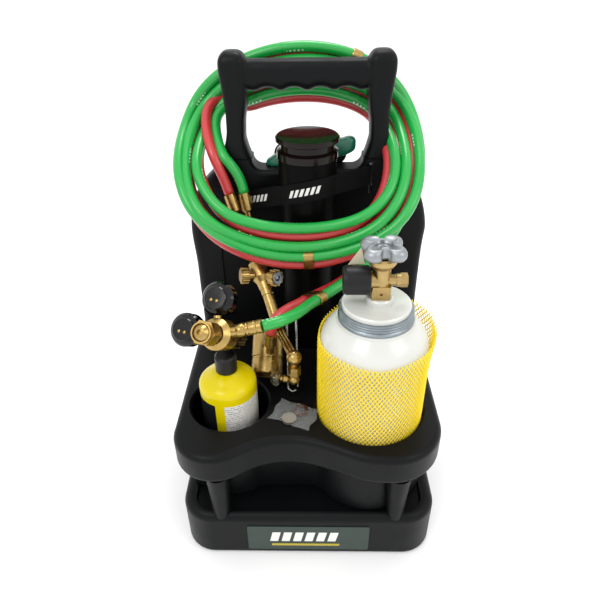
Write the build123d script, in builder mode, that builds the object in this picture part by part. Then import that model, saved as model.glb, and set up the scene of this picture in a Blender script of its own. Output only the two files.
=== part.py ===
from build123d import *
import math
import os

# Portable oxy-acetylene torch outfit in a moulded carrying stand. Millimetres, +Z up, front towards -Y.
# The origin is on the floor, at the middle of the stand's own box.

# ---- stand ----
HALF_WIDTH = 171.0          # half the stand's width
FRONT = -158.0              # foremost point of the shelf's front lobes
BACK = 158.0                # back face of the panel
BASE_FRONT = -152.0         # flat front of the base
BASE_HEIGHT = 80.0          # top of the base
WAIST_HEIGHT = 73.0         # pocket walls between the base and the shelf
SHELF_THICK = 46.0
CORNER_RADIUS = 42.0        # plan corners of the base
PANEL_THICK = 39.0
PANEL_SPLIT = 470.0         # where the panel ends and the handle begins
TOP = 605.0                 # top of the grip
GRIP_DEPTH = 50.0           # grip, top to bottom
WINDOW_HALF = 75.0          # half the width of the hand opening
WINDOW_SILL = 455.0
POST_HALF = 110.0           # outer half width of the handle's posts
PLASTIC_FLOOR = 6.0         # floor under the cylinders
TRAY_DEPTH = 5.0            # tray sunk in the base's top, behind the front lip
TRAY_LENGTH = 80.0
POCKET_WALL = 5.5           # wall round each pocket between base and shelf
FOOT_RADIUS = 11.0          # shelf posts, at the foot
POST_TOP_RADIUS = 15.0
POST_X = 115.0
POST_Y = -141.0

# ---- cylinders ----
OXY_X, OXY_Y = 81.0, -63.0
OXY_RADIUS = 66.5
OXY_SHOULDER = 300.0        # where the straight wall ends
OXY_COLLAR_Z = 338.0
OXY_COLLAR_RADIUS = 46.9
OXY_TOP = 362.5
POCKET_CLEARANCE = 2.2
RIM = 2.5                   # bevel round each pocket's mouth
NET_GAP = 0.3
NET_THICK = 1.5
FUEL_X, FUEL_Y = -104.5, -59.0
FUEL_RADIUS = 37.5
FUEL_RIM = 237.0
FUEL_POCKET_RADIUS = 52.0
FUEL_CAP_RADIUS = 14.0
FUEL_CAP_TOP = 280.0
VALVE_X = 84.0              # the valve stands a little off the cylinder's axis

# ---- rod tube ----
TUBE_Y = 93.0
TUBE_RADIUS = 38.0
TUBE_WALL = 2.0
TUBE_TOP = 484.0
TUBE_CHANNEL_GAP = 1.5

# ---- strap ----
STRAP_WIDTH = 27.0
STRAP_THICK = 1.6
STRAP_SLOPE_X = 0.205       # the strap climbs to the right
STRAP_SLOPE_Y = -0.309      # and towards the front
SLOT_X = 86.0               # the slots that the strap passes through
SLOT_WIDE = 4.4             # each strap slot, side to side
STRAP_RECESS = 2.4          # shallow groove across the panel's back
GROOVE_Z = 420.0

# ---- shared small clearances ----
RUN = 0.15                  # running fit, radial
GAP = 0.3                   # parts that must not touch
HOSE = 14.0                 # outer diameter of each hose

SHELF_TOP = BASE_HEIGHT + WAIST_HEIGHT + SHELF_THICK
SHELF_LOW = BASE_HEIGHT + WAIST_HEIGHT
PANEL_FRONT = BACK - PANEL_THICK
OXY_POCKET_RADIUS = OXY_RADIUS + NET_GAP + NET_THICK + POCKET_CLEARANCE
os.makedirs("parts", exist_ok=True)


def save(built, label):
    """Label a finished piece and write its STEP file."""
    built.part.label = label
    export_step(built.part, f"parts/{label}.step")


def along(start, direction, x_hint=(1, 0, 0)):
    """A plane at start whose normal runs along direction."""
    z = Vector(direction).normalized()
    x = Vector(x_hint)
    x = (x - z * x.dot(z)).normalized()
    return Plane(origin=start, x_dir=x, z_dir=z)


def turned(plane, profile):
    """Revolve an (radius, height) profile about the plane's normal."""
    with BuildPart() as body:
        section = Plane(origin=plane.origin, x_dir=plane.x_dir, z_dir=plane.x_dir.cross(plane.z_dir))
        with BuildSketch(section):
            with BuildLine():
                Polyline(*profile, close=True)
            make_face()
        revolve(axis=Axis(plane.origin, plane.z_dir))
    return body


def ring(plane, outer, inner, height):
    """A plain tube standing on the plane."""
    with BuildPart() as body:
        with BuildSketch(plane):
            Circle(outer)
            if inner > 0:
                Circle(inner, mode=Mode.SUBTRACT)
        extrude(amount=height)
    return body


# ================= stand =================
def wavy_outline():
    """Plan outline of the shelf: two front lobes around the cylinders and a hollow between them."""
    w = HALF_WIDTH
    with BuildLine() as outline:
        left = ThreePointArc((-w, FRONT + 56), (-157, FRONT + 16), (-119, FRONT))
        wave = Spline(
            left @ 1, (-74, FRONT + 18), (-22, FRONT + 31), (38, FRONT + 15), (92, FRONT),
            tangents=[(1, 0), (1, 0)],
        )
        right = ThreePointArc(wave @ 1, (152, FRONT + 20), (w, FRONT + 66))
        Line(right @ 1, (w, BACK - 26))
        RadiusArc((w, BACK - 26), (w - 26, BACK), -26)
        Line((w - 26, BACK), (-w + 26, BACK))
        RadiusArc((-w + 26, BACK), (-w, BACK - 26), -26)
        Line((-w, BACK - 26), left @ 0)
    return outline.line


def round_column(x, y, radius, low, high):
    """An upright round column, used as a cutter."""
    with BuildPart() as column:
        with BuildSketch(Plane(origin=(x, y, low))):
            Circle(radius)
        extrude(amount=high - low)
    return column.part


oxygen_pocket = round_column(OXY_X, OXY_Y, OXY_POCKET_RADIUS, PLASTIC_FLOOR, SHELF_TOP + 1)
fuel_pocket = round_column(FUEL_X, FUEL_Y, FUEL_POCKET_RADIUS, PLASTIC_FLOOR, SHELF_TOP + 1)


with BuildPart() as carrier_base:
    with BuildSketch():
        depth = BACK - BASE_FRONT
        with Locations((0, (BACK + BASE_FRONT) / 2)):
            RectangleRounded(2 * HALF_WIDTH, depth, CORNER_RADIUS)
    extrude(amount=BASE_HEIGHT)
    fillet(carrier_base.edges().group_by(Axis.Z)[-1], 11)
    fillet(carrier_base.edges().group_by(Axis.Z)[0], 8)
    # The tray in front of the pocket walls, sunk behind the front lip.
    with BuildSketch(Plane.XY.offset(BASE_HEIGHT - TRAY_DEPTH)):
        with Locations((0, BASE_FRONT + 10 + TRAY_LENGTH / 2)):
            RectangleRounded(2 * HALF_WIDTH - 36, TRAY_LENGTH, 26)
    extrude(amount=TRAY_DEPTH, mode=Mode.SUBTRACT)
    add(oxygen_pocket, mode=Mode.SUBTRACT)
    add(fuel_pocket, mode=Mode.SUBTRACT)
save(carrier_base, "carrier_base")

with BuildPart() as carrier_waist:
    with BuildSketch(Plane.XY.offset(BASE_HEIGHT)) as waist_plan:
        with Locations((OXY_X, OXY_Y)):
            Circle(OXY_POCKET_RADIUS + POCKET_WALL)
        with Locations((FUEL_X, FUEL_Y)):
            Circle(FUEL_POCKET_RADIUS + POCKET_WALL)
        with Locations((-3, 23)):
            Rectangle(306, 246)
        # Closing the plan rounds the hollows where the pocket walls meet the middle.
        offset(amount=22, kind=Kind.ARC)
        offset(amount=-22, kind=Kind.ARC)
    extrude(amount=WAIST_HEIGHT)
    add(oxygen_pocket, mode=Mode.SUBTRACT)
    add(fuel_pocket, mode=Mode.SUBTRACT)
save(carrier_waist, "carrier_waist")

with BuildPart() as carrier_shelf:
    with BuildSketch(Plane.XY.offset(SHELF_LOW)):
        add(make_face(wavy_outline().edges(), mode=Mode.PRIVATE))
    extrude(amount=SHELF_THICK)
    fillet(carrier_shelf.edges().group_by(Axis.Z)[-1], 9)
    fillet(carrier_shelf.edges().group_by(Axis.Z)[0], 9)
    add(oxygen_pocket, mode=Mode.SUBTRACT)
    add(fuel_pocket, mode=Mode.SUBTRACT)
    for x, y, radius in ((OXY_X, OXY_Y, OXY_POCKET_RADIUS), (FUEL_X, FUEL_Y, FUEL_POCKET_RADIUS)):
        mouth = [(0, 1), (radius + RIM, 1), (radius + RIM, 0), (radius, -RIM), (0, -RIM)]
        add(turned(Plane(origin=(x, y, SHELF_TOP)), mouth).part, mode=Mode.SUBTRACT)
save(carrier_shelf, "carrier_shelf")

with BuildPart() as shelf_posts:
    for side in (-1, 1):
        with BuildSketch(Plane.XY.offset(BASE_HEIGHT - TRAY_DEPTH)):
            with Locations((side * POST_X, POST_Y)):
                Circle(FOOT_RADIUS)
        with BuildSketch(Plane.XY.offset(SHELF_LOW)):
            with Locations((side * POST_X, POST_Y)):
                Circle(POST_TOP_RADIUS)
        loft()
    # Each post stands on the sunk tray and is trimmed where the base's lip rises around it.
    add(carrier_base.part, mode=Mode.SUBTRACT)
    add(carrier_waist.part, mode=Mode.SUBTRACT)
    add(oxygen_pocket, mode=Mode.SUBTRACT)
save(shelf_posts, "shelf_posts")


def panel_outline():
    """Front view outline of the panel and handle together."""
    with BuildLine() as outline:
        base_half = HALF_WIDTH - 3
        left = Spline(
            (-base_half, 300), (-HALF_WIDTH + 1, 372), (-150, 431), (-119, 466), (-107, 505), (-POST_HALF, 560),
            tangents=[(0, 1), (-0.1, 1)],
        )
        Line(left @ 1, (-POST_HALF - 1, TOP - 22))
        Line((-POST_HALF - 1, TOP - 22), (-POST_HALF + 17, TOP))
        Line((-POST_HALF + 17, TOP), (POST_HALF - 17, TOP))
        Line((POST_HALF - 17, TOP), (POST_HALF + 1, TOP - 22))
        right = Spline(
            (POST_HALF, 560), (107, 505), (119, 466), (150, 431), (HALF_WIDTH - 1, 372), (base_half, 300),
            tangents=[(-0.1, -1), (0, -1)],
        )
        Line((POST_HALF + 1, TOP - 22), right @ 0)
        Line(right @ 1, (base_half, SHELF_TOP))
        Line((base_half, SHELF_TOP), (-base_half, SHELF_TOP))
        Line((-base_half, SHELF_TOP), left @ 0)
    return outline.line


def panel_blank():
    """The whole panel with its handle, rounded like a blow moulding, before it is cut in two."""
    with BuildPart() as blank:
        with BuildSketch(Plane.XZ.offset(-BACK)):
            add(make_face(panel_outline().edges(), mode=Mode.PRIVATE))
        extrude(amount=PANEL_THICK)
        faces = blank.faces().sort_by(Axis.Y)
        rims = faces[0].edges() + faces[-1].edges()
        fillet(rims.filter_by(lambda e: e.center().Z > SHELF_TOP + 1), 11)
        # Hand opening with soft corners.
        with BuildSketch(Plane.XZ.offset(-BACK)):
            with Locations((0, (WINDOW_SILL + TOP - GRIP_DEPTH) / 2)):
                RectangleRounded(2 * WINDOW_HALF, TOP - GRIP_DEPTH - WINDOW_SILL, 14)
            # Finger grooves under the grip.
            with Locations(*[(x, TOP - GRIP_DEPTH - 15) for x in (-51, -17, 17, 51)]):
                Circle(20)
        extrude(amount=PANEL_THICK, mode=Mode.SUBTRACT)
        inner = blank.edges().filter_by(
            lambda e: abs(e.center().X) < WINDOW_HALF + 1
            and WINDOW_SILL - 1 < e.center().Z < TOP - GRIP_DEPTH + 8
            and min(abs(e.center().Y - BACK), abs(e.center().Y - PANEL_FRONT)) < 0.01
        )
        fillet(inner, 6)
    return blank


with BuildPart() as carrier_back_panel:
    add(panel_blank().part)
    split(bisect_by=Plane.XY.offset(PANEL_SPLIT), keep=Keep.BOTTOM)
    # The tube stands in a channel down the middle, inside a shallow recessed field.
    with BuildSketch(Plane.XZ.offset(-PANEL_FRONT - 3)):
        with Locations((0, 318)):
            RectangleRounded(256, 206, 22)
        with Locations((-22, 278)):
            RectangleRounded(146, 90, 14, mode=Mode.SUBTRACT)
    extrude(amount=10, mode=Mode.SUBTRACT)
    with BuildSketch(Plane.XY.offset(SHELF_TOP)):
        with Locations((0, TUBE_Y)):
            Circle(TUBE_RADIUS + TUBE_CHANNEL_GAP)
    extrude(amount=TOP, mode=Mode.SUBTRACT)
    # Slots for the strap.
    for side in (-1, 1):
        with BuildSketch(Plane.XZ.offset(-BACK)):
            with Locations((side * SLOT_X, 425 + side * SLOT_X * STRAP_SLOPE_X)):
                Rectangle(SLOT_WIDE, 45)
        extrude(amount=PANEL_THICK, mode=Mode.SUBTRACT)
    # A shallow groove across the back takes the strap.
    with BuildSketch(Plane.XZ.offset(-BACK)):
        with Locations((0, GROOVE_Z)):
            Rectangle(2 * SLOT_X + 7, 45, rotation=math.degrees(math.atan(STRAP_SLOPE_X)))
    extrude(amount=STRAP_RECESS, mode=Mode.SUBTRACT)
save(carrier_back_panel, "carrier_back_panel")

with BuildPart() as carrier_handle:
    add(panel_blank().part)
    split(bisect_by=Plane.XY.offset(PANEL_SPLIT), keep=Keep.TOP)
save(carrier_handle, "carrier_handle")

with BuildPart() as label_plate:
    with BuildSketch(Plane.XZ.offset(-BASE_FRONT)):
        with Locations((0, 36)):
            RectangleRounded(164, 50, 3)
    extrude(amount=0.8)
save(label_plate, "label_plate")

# ================= rod tube, cap and strap =================
with BuildPart() as rod_tube:
    with BuildSketch(Plane.XY.offset(SHELF_TOP + 0.2)):
        with Locations((0, TUBE_Y)):
            Circle(TUBE_RADIUS)
    extrude(amount=TUBE_TOP - SHELF_TOP - 0.2)
    with BuildSketch(Plane.XY.offset(SHELF_TOP + 3)):
        with Locations((0, TUBE_Y)):
            Circle(TUBE_RADIUS - TUBE_WALL)
    extrude(amount=TUBE_TOP, mode=Mode.SUBTRACT)
save(rod_tube, "rod_tube")

PLUG = TUBE_RADIUS - TUBE_WALL - 0.5
cap_profile = [
    (0, -20), (PLUG, -20), (PLUG, GAP), (39.5, GAP), (39.5, 9), (35, 12), (35, 19),
    (41, 22), (41, 26), (39, 27.5), (0, 27.5),
]
tube_cap = turned(Plane(origin=(0, TUBE_Y, TUBE_TOP)), cap_profile)
save(tube_cap, "tube_cap")


def strap_loop(offset_out):
    """Plan outline of the strap: round the tube, through two slots and across the back."""
    r = TUBE_RADIUS + GAP + offset_out
    x = SLOT_X - 1.2 + offset_out
    back = BACK - STRAP_RECESS + GAP + offset_out
    front = PANEL_FRONT - 3 - GAP - offset_out
    angle = math.acos((r + 6) / math.hypot(x - 6, front - TUBE_Y)) - math.atan2(front - TUBE_Y, x - 6)
    touch_x = r * math.cos(angle)
    touch_y = TUBE_Y - r * math.sin(angle)
    with BuildLine() as loop:
        Polyline((-touch_x, touch_y), (-x, front), (-x, back), (x, back), (x, front), (touch_x, touch_y))
        ThreePointArc((touch_x, touch_y), (0, TUBE_Y - r), (-touch_x, touch_y))
    return loop.line


with BuildPart() as tube_strap:
    with BuildSketch(Plane.XY.offset(370)):
        add(make_face(strap_loop(STRAP_THICK).edges(), mode=Mode.PRIVATE))
        add(make_face(strap_loop(0).edges(), mode=Mode.PRIVATE), mode=Mode.SUBTRACT)
    extrude(amount=130)
    tilt = Vector(-STRAP_SLOPE_X, -STRAP_SLOPE_Y, 1).normalized()
    mid = (0, PANEL_FRONT, 431)
    low = Plane(origin=Vector(*mid) - tilt * STRAP_WIDTH / 2, z_dir=tilt)
    high = Plane(origin=Vector(*mid) + tilt * STRAP_WIDTH / 2, z_dir=tilt)
    split(bisect_by=low, keep=Keep.TOP)
    split(bisect_by=high, keep=Keep.BOTTOM)
save(tube_strap, "tube_strap")

# ================= oxygen cylinder and its valve =================
OXY_BOTTOM = PLASTIC_FLOOR + GAP
WALL = 4.0


def oxy_wall(inset):
    """Half section of the cylinder's wall: foot radius, straight side, shoulder and neck."""
    r = OXY_RADIUS - inset
    with BuildLine() as line:
        Line((0, OXY_BOTTOM + inset), (r - 14, OXY_BOTTOM + inset))
        ThreePointArc(
            (r - 14, OXY_BOTTOM + inset), (r - 4.1, OXY_BOTTOM + inset + 4.1), (r, OXY_BOTTOM + inset + 14)
        )
        Line((r, OXY_BOTTOM + inset + 14), (r, OXY_SHOULDER))
        Spline(
            (r, OXY_SHOULDER), (r - 7, OXY_SHOULDER + 24 - inset / 2), (OXY_COLLAR_RADIUS - inset, OXY_COLLAR_Z),
            tangents=[(0, 1), (-0.72, 0.7)],
        )
        Line((OXY_COLLAR_RADIUS - inset, OXY_COLLAR_Z), (0, OXY_COLLAR_Z))
        Line((0, OXY_COLLAR_Z), (0, OXY_BOTTOM + inset))
    return line.line


with BuildPart() as oxygen_cylinder:
    section = Plane(origin=(OXY_X, OXY_Y, 0), x_dir=(1, 0, 0), z_dir=(0, -1, 0))
    with BuildSketch(section):
        add(make_face(oxy_wall(0).edges(), mode=Mode.PRIVATE))
        add(make_face(oxy_wall(WALL).edges(), mode=Mode.PRIVATE), mode=Mode.SUBTRACT)
        with Locations((OXY_COLLAR_RADIUS / 2, OXY_COLLAR_Z)):
            Rectangle(OXY_COLLAR_RADIUS, 8)
    revolve(axis=Axis((OXY_X, OXY_Y, 0), (0, 0, 1)))
save(oxygen_cylinder, "oxygen_cylinder")

RING_LOW = OXY_COLLAR_Z + 4
oxygen_neck_ring = turned(
    Plane(origin=(OXY_X, OXY_Y, RING_LOW)),
    [(0, 0), (45.4, 0), (45.4, 3)]
    + [(44.6 if i % 2 else 43.6, 4.5 + i * 1.7) for i in range(6)]
    + [(43.8, 14.6), (0, 14.6)],
)
save(oxygen_neck_ring, "oxygen_neck_ring")

TOP_PLATE_LOW = RING_LOW + 14.6
oxygen_top_plate = turned(
    Plane(origin=(OXY_X, OXY_Y, TOP_PLATE_LOW)),
    [(0, 0), (40.9, 0), (40.9, 4.4), (39.4, 5.9), (0, 5.9)],
)
save(oxygen_top_plate, "oxygen_top_plate")

valve_plane = Plane(origin=(VALVE_X, OXY_Y, OXY_TOP))
VALVE_BASE = OXY_TOP + 8
oxygen_neck_boss = turned(valve_plane, [(0, 0), (15.7, 0), (15.7, 6), (14.2, 8), (0, 8)])
save(oxygen_neck_boss, "oxygen_neck_boss")

OUTLET_Z = 391.5
SPINDLE_RADIUS = 4.0
with BuildPart() as oxygen_valve_body:
    with BuildSketch(Plane(origin=(VALVE_X, OXY_Y, VALVE_BASE))):
        RectangleRounded(22, 22, 1.5)
    extrude(amount=17)
    with BuildSketch(Plane(origin=(VALVE_X, OXY_Y, VALVE_BASE + 17))):
        Circle(10.4)
    extrude(amount=22)
    # Outlet port on the left, safety port on the right.
    with BuildSketch(Plane(origin=(VALVE_X, OXY_Y, OUTLET_Z), x_dir=(0, 1, 0), z_dir=(-1, 0, 0))):
        Circle(10.5)
    extrude(amount=26)
    with BuildSketch(Plane(origin=(VALVE_X, OXY_Y, OUTLET_Z), x_dir=(0, 1, 0), z_dir=(1, 0, 0))):
        Circle(6.6)
    extrude(amount=17)
    # Bore for the spindle and the small hole in the square base.
    with BuildSketch(Plane(origin=(VALVE_X, OXY_Y, VALVE_BASE + 24))):
        Circle(SPINDLE_RADIUS + RUN)
    extrude(amount=20, mode=Mode.SUBTRACT)
    with BuildSketch(Plane(origin=(VALVE_X, OXY_Y - 11, VALVE_BASE + 8), x_dir=(1, 0, 0), z_dir=(0, -1, 0))):
        Circle(1.8)
    extrude(amount=-3, mode=Mode.SUBTRACT)
    with BuildSketch(Plane(origin=(VALVE_X - 26, OXY_Y, OUTLET_Z), x_dir=(0, 1, 0), z_dir=(-1, 0, 0))):
        Circle(6)
    extrude(amount=-9, mode=Mode.SUBTRACT)
save(oxygen_valve_body, "oxygen_valve_body")

GLAND_LOW = VALVE_BASE + 39
oxygen_gland_nut = turned(
    Plane(origin=(VALVE_X, OXY_Y, GLAND_LOW)),
    [(SPINDLE_RADIUS + RUN, 0), (12.2, 0), (16.0, 6), (16.4, 11.5), (14.5, 14), (SPINDLE_RADIUS + RUN, 14)],
)
save(oxygen_gland_nut, "oxygen_gland_nut")

WHEEL_LOW = GLAND_LOW + 14 + GAP
with BuildPart() as oxygen_handwheel:
    with BuildSketch(Plane(origin=(VALVE_X, OXY_Y, WHEEL_LOW))):
        Circle(13.5)
        with PolarLocations(18.5, 4, start_angle=-42):
            Circle(9.5)
    extrude(amount=15)
    fillet(oxygen_handwheel.edges().group_by(Axis.Z)[-1], 3.2)
    fillet(oxygen_handwheel.edges().group_by(Axis.Z)[0], 2)
    with BuildSketch(Plane(origin=(VALVE_X, OXY_Y, WHEEL_LOW + 7))):
        Circle(9)
    extrude(amount=10, mode=Mode.SUBTRACT)
    with BuildSketch(Plane(origin=(VALVE_X, OXY_Y, WHEEL_LOW))):
        Circle(SPINDLE_RADIUS)
    extrude(amount=10, mode=Mode.SUBTRACT)
save(oxygen_handwheel, "oxygen_handwheel")

oxygen_spindle = turned(
    Plane(origin=(VALVE_X, OXY_Y, VALVE_BASE + 25)),
    [(0, 0), (SPINDLE_RADIUS, 0), (SPINDLE_RADIUS, 38), (3.2, 39), (0, 39)],
)
save(oxygen_spindle, "oxygen_spindle")

CAP_START = 8.0             # the cap's mouth, out from the valve's axis
outlet_axis = Plane(origin=(VALVE_X - CAP_START - 4.4, OXY_Y, OUTLET_Z), x_dir=(0, 1, 0), z_dir=(-1, 0, 0))
oxygen_outlet_cap = turned(
    outlet_axis,
    [(10.5 + GAP, 0), (15.8, 0), (17.2, 2), (17.2, 27), (15.5, 31), (0, 32), (0, 16), (10.5 + GAP, 16)],
)
save(oxygen_outlet_cap, "oxygen_outlet_cap")

safety_axis = Plane(origin=(VALVE_X + 17, OXY_Y, OUTLET_Z), x_dir=(0, 1, 0), z_dir=(1, 0, 0))
with BuildPart() as oxygen_safety_plug:
    with BuildSketch(safety_axis):
        Circle(7.6)
    extrude(amount=5)
    with BuildSketch(safety_axis.offset(5)):
        RegularPolygon(7.2, 6, major_radius=False)
    extrude(amount=8)
save(oxygen_safety_plug, "oxygen_safety_plug")

with BuildPart() as cylinder_net:
    with BuildSketch(Plane(origin=(OXY_X, OXY_Y, 22))):
        Circle(OXY_RADIUS + NET_GAP + NET_THICK)
        Circle(OXY_RADIUS + NET_GAP, mode=Mode.SUBTRACT)
    extrude(amount=OXY_SHOULDER + 8 - 22)
save(cylinder_net, "cylinder_net")

# ================= fuel cylinder =================
FUEL_BOTTOM = PLASTIC_FLOOR + GAP
NECK_Z = 256.0


def fuel_wall(inset):
    """Half section of the slim cylinder: bottom, straight side, domed top."""
    r = FUEL_RADIUS - inset
    with BuildLine() as line:
        Line((0, FUEL_BOTTOM + inset), (r - 8, FUEL_BOTTOM + inset))
        ThreePointArc(
            (r - 8, FUEL_BOTTOM + inset), (r - 2.35, FUEL_BOTTOM + inset + 2.35), (r, FUEL_BOTTOM + inset + 8)
        )
        Line((r, FUEL_BOTTOM + inset + 8), (r, FUEL_RIM - 3))
        Spline(
            (r, FUEL_RIM - 3), (r - 10.5, FUEL_RIM + 10.5 - inset), (10, NECK_Z - inset),
            tangents=[(0, 1), (-1, 0.12)],
        )
        Line((10, NECK_Z - inset), (0, NECK_Z - inset))
        Line((0, NECK_Z - inset), (0, FUEL_BOTTOM + inset))
    return line.line


with BuildPart() as fuel_cylinder:
    fuel_section = Plane(origin=(FUEL_X, FUEL_Y, 0), x_dir=(1, 0, 0), z_dir=(0, -1, 0))
    with BuildSketch(fuel_section):
        add(make_face(fuel_wall(0).edges(), mode=Mode.PRIVATE))
        add(make_face(fuel_wall(1.5).edges(), mode=Mode.PRIVATE), mode=Mode.SUBTRACT)
    revolve(axis=Axis((FUEL_X, FUEL_Y, 0), (0, 0, 1)))
save(fuel_cylinder, "fuel_cylinder")

fuel_valve = turned(
    Plane(origin=(FUEL_X, FUEL_Y, NECK_Z)),
    [(0, 0), (10.5, 0), (10.5, 5), (9.2, 7), (9.2, 18), (4, 19.5), (0, 19.5)],
)
save(fuel_valve, "fuel_valve")
fuel_cap = turned(
    Plane(origin=(FUEL_X, FUEL_Y, NECK_Z + GAP)),
    [(10.5 + GAP, 0), (FUEL_CAP_RADIUS, 0), (FUEL_CAP_RADIUS, FUEL_CAP_TOP - NECK_Z - 3),
     (FUEL_CAP_RADIUS - 2.5, FUEL_CAP_TOP - NECK_Z - GAP), (0, FUEL_CAP_TOP - NECK_Z - GAP), (0, 21), (10.5 + GAP, 21)],
)
save(fuel_cap, "fuel_cap")

# ================= oxygen regulator, lying on the fuel cylinder's cap =================
REG_AT = Vector(-108, -73, 321.5)
REG_AXIS = Vector(0.27, 0.74, -0.615).normalized()
REG_RIGHT = REG_AXIS.cross(Vector(0, 0, 1)).normalized()
REG_UP = REG_RIGHT.cross(REG_AXIS).normalized()
reg = Plane(origin=REG_AT, x_dir=REG_RIGHT, z_dir=REG_AXIS)


def reg_side(angle):
    """A unit vector square to the regulator's axis, angle in degrees from its right side."""
    a = math.radians(angle)
    return REG_RIGHT * math.cos(a) + REG_UP * math.sin(a)


BODY_RADIUS = 19.5
GAUGE_SIDES = {"high": 184.0, "low": 104.0}
GAUGE_REACH = 43.5
GAUGE_RADIUS = 21.0
OUTLET_SIDE = 22.0

with BuildPart() as regulator_body:
    add(turned(reg.offset(-12), [(0, 0), (13, 0), (BODY_RADIUS, 6), (BODY_RADIUS, 30), (17, 32), (0, 32)]).part)
    for side_angle, reach, radius in (
        (GAUGE_SIDES["high"], GAUGE_REACH - GAUGE_RADIUS, 4.5), (GAUGE_SIDES["low"], GAUGE_REACH - GAUGE_RADIUS, 4.5),
        (OUTLET_SIDE, 26, 6.5),
    ):
        with BuildSketch(along(REG_AT, reg_side(side_angle), REG_AXIS)):
            Circle(radius)
        extrude(amount=reach)
save(regulator_body, "regulator_body")

regulator_bonnet = turned(reg.offset(20), [(4 + RUN, 0), (17, 0), (17, 4), (14, 9), (13, 15), (4 + RUN, 15)])
save(regulator_bonnet, "regulator_bonnet")
with BuildPart() as regulator_knob:
    with BuildSketch(reg.offset(35 + GAP)):
        Circle(15.2)
        with PolarLocations(15.2, 12):
            Circle(1.6)
    extrude(amount=20)
    with BuildSketch(reg.offset(22)):
        Circle(4)
    extrude(amount=14)
save(regulator_knob, "regulator_knob")

inlet = Plane(origin=REG_AT - REG_AXIS * 12, x_dir=REG_RIGHT, z_dir=REG_AXIS * -1)
inlet_nipple = turned(
    inlet, [(0, 0), (8, 0), (8, 28), (10.4, 29), (10.4, 31.5), (6, 36), (3.2, 37), (3.2, 33), (0, 33)],
)
save(inlet_nipple, "inlet_nipple")
with BuildPart() as inlet_nut:
    with BuildSketch(inlet.offset(8)):
        RegularPolygon(13.4, 6, major_radius=False)
    extrude(amount=20)
    with BuildSketch(inlet.offset(28)):
        Circle(12.6)
    extrude(amount=5)
    with BuildSketch(inlet.offset(8)):
        Circle(8 + RUN)
    extrude(amount=20, mode=Mode.SUBTRACT)
    with BuildSketch(inlet.offset(28 - 0.8)):
        Circle(10.4 + GAP)
    extrude(amount=6, mode=Mode.SUBTRACT)
save(inlet_nut, "inlet_nut")


def gauge_plane(name):
    """The gauge's own plane: its axis runs the same way as the regulator's, its back at the origin."""
    centre = REG_AT + reg_side(GAUGE_SIDES[name]) * GAUGE_REACH
    return Plane(origin=centre - REG_AXIS * 9, x_dir=REG_RIGHT, z_dir=REG_AXIS)


CASE_DEPTH = 22.0
case_profile = [
    (0, 0), (13.5, 0), (14.5, 1), (14.5, 4), (GAUGE_RADIUS - 2.5, 6), (GAUGE_RADIUS, 9), (GAUGE_RADIUS, CASE_DEPTH),
    (GAUGE_RADIUS - 2, CASE_DEPTH), (GAUGE_RADIUS - 2, 12), (0, 12),
]
dial_profile = [(1.2, 12), (GAUGE_RADIUS - 2.4, 12), (GAUGE_RADIUS - 2.4, 12.8), (1.2, 12.8)]
lens_profile = [(0, CASE_DEPTH - 2.6), (GAUGE_RADIUS - 2.1, CASE_DEPTH - 2.6), (GAUGE_RADIUS - 2.1, CASE_DEPTH - 1), (0, CASE_DEPTH - 1)]
for group, profile in (("gauge_cases", case_profile), ("gauge_dials", dial_profile), ("gauge_lenses", lens_profile)):
    with BuildPart() as gauge_group:
        for gauge_name in GAUGE_SIDES:
            add(turned(gauge_plane(gauge_name), profile).part)
            if group == "gauge_cases":
                with BuildSketch(gauge_plane(gauge_name).offset(10)):
                    Circle(0.8)
                extrude(amount=5)
    save(gauge_group, group)

for gauge_name in GAUGE_SIDES:
    face = gauge_plane(gauge_name).offset(14)
    with BuildPart() as needle:
        with BuildSketch(face):
            Circle(2.6)
            with Locations((-5.5, -5.5)):
                Rectangle(18, 1.2, rotation=45)
            Circle(0.8 + RUN, mode=Mode.SUBTRACT)
        extrude(amount=0.8)
    save(needle, f"needle_{gauge_name}")

OUTLET_DIR = reg_side(OUTLET_SIDE)
outlet_plane = along((REG_AT + OUTLET_DIR * 26), OUTLET_DIR, REG_AXIS)
oxygen_hose_fitting = turned(
    outlet_plane, [(0, 0), (8, 0), (8, 9), (5.5, 10), (5.5, 12), (8.6, 12), (8.6, 32), (0, 32)],
)
save(oxygen_hose_fitting, "oxygen_hose_fitting")
OXY_HOSE_START = REG_AT + OUTLET_DIR * 58

# ================= fuel regulator, leaning on the shelf =================
FUEL_SIDE = FUEL_X + FUEL_RADIUS   # the fuel cylinder's right side; what stands beside it follows
FUEL_REG_AT = Vector(FUEL_SIDE + 10.5, -27, SHELF_TOP + 19)
FUEL_REG_AXIS = Vector(0.03, 0.78, 0.62).normalized()
fuel_reg = Plane(origin=FUEL_REG_AT, x_dir=FUEL_REG_AXIS.cross(Vector(0, 0, 1)).normalized(), z_dir=FUEL_REG_AXIS)
fuel_regulator_body = turned(
    fuel_reg,
    [(18.5, 0), (21, 0), (22, 1.5), (22, 20), (21.2, 21), (21.2, 23), (22, 24), (22, 58), (18, 66), (0, 66), (0, 30),
     (18.5, 30)],
)
save(fuel_regulator_body, "fuel_regulator_body")
fuel_inlet_stem = turned(fuel_reg.offset(10), [(0, 0), (4, 2), (5.5, 6), (5.5, 12), (12.5, 12), (12.5, 20), (0, 20)])
save(fuel_inlet_stem, "fuel_inlet_stem")

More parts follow.
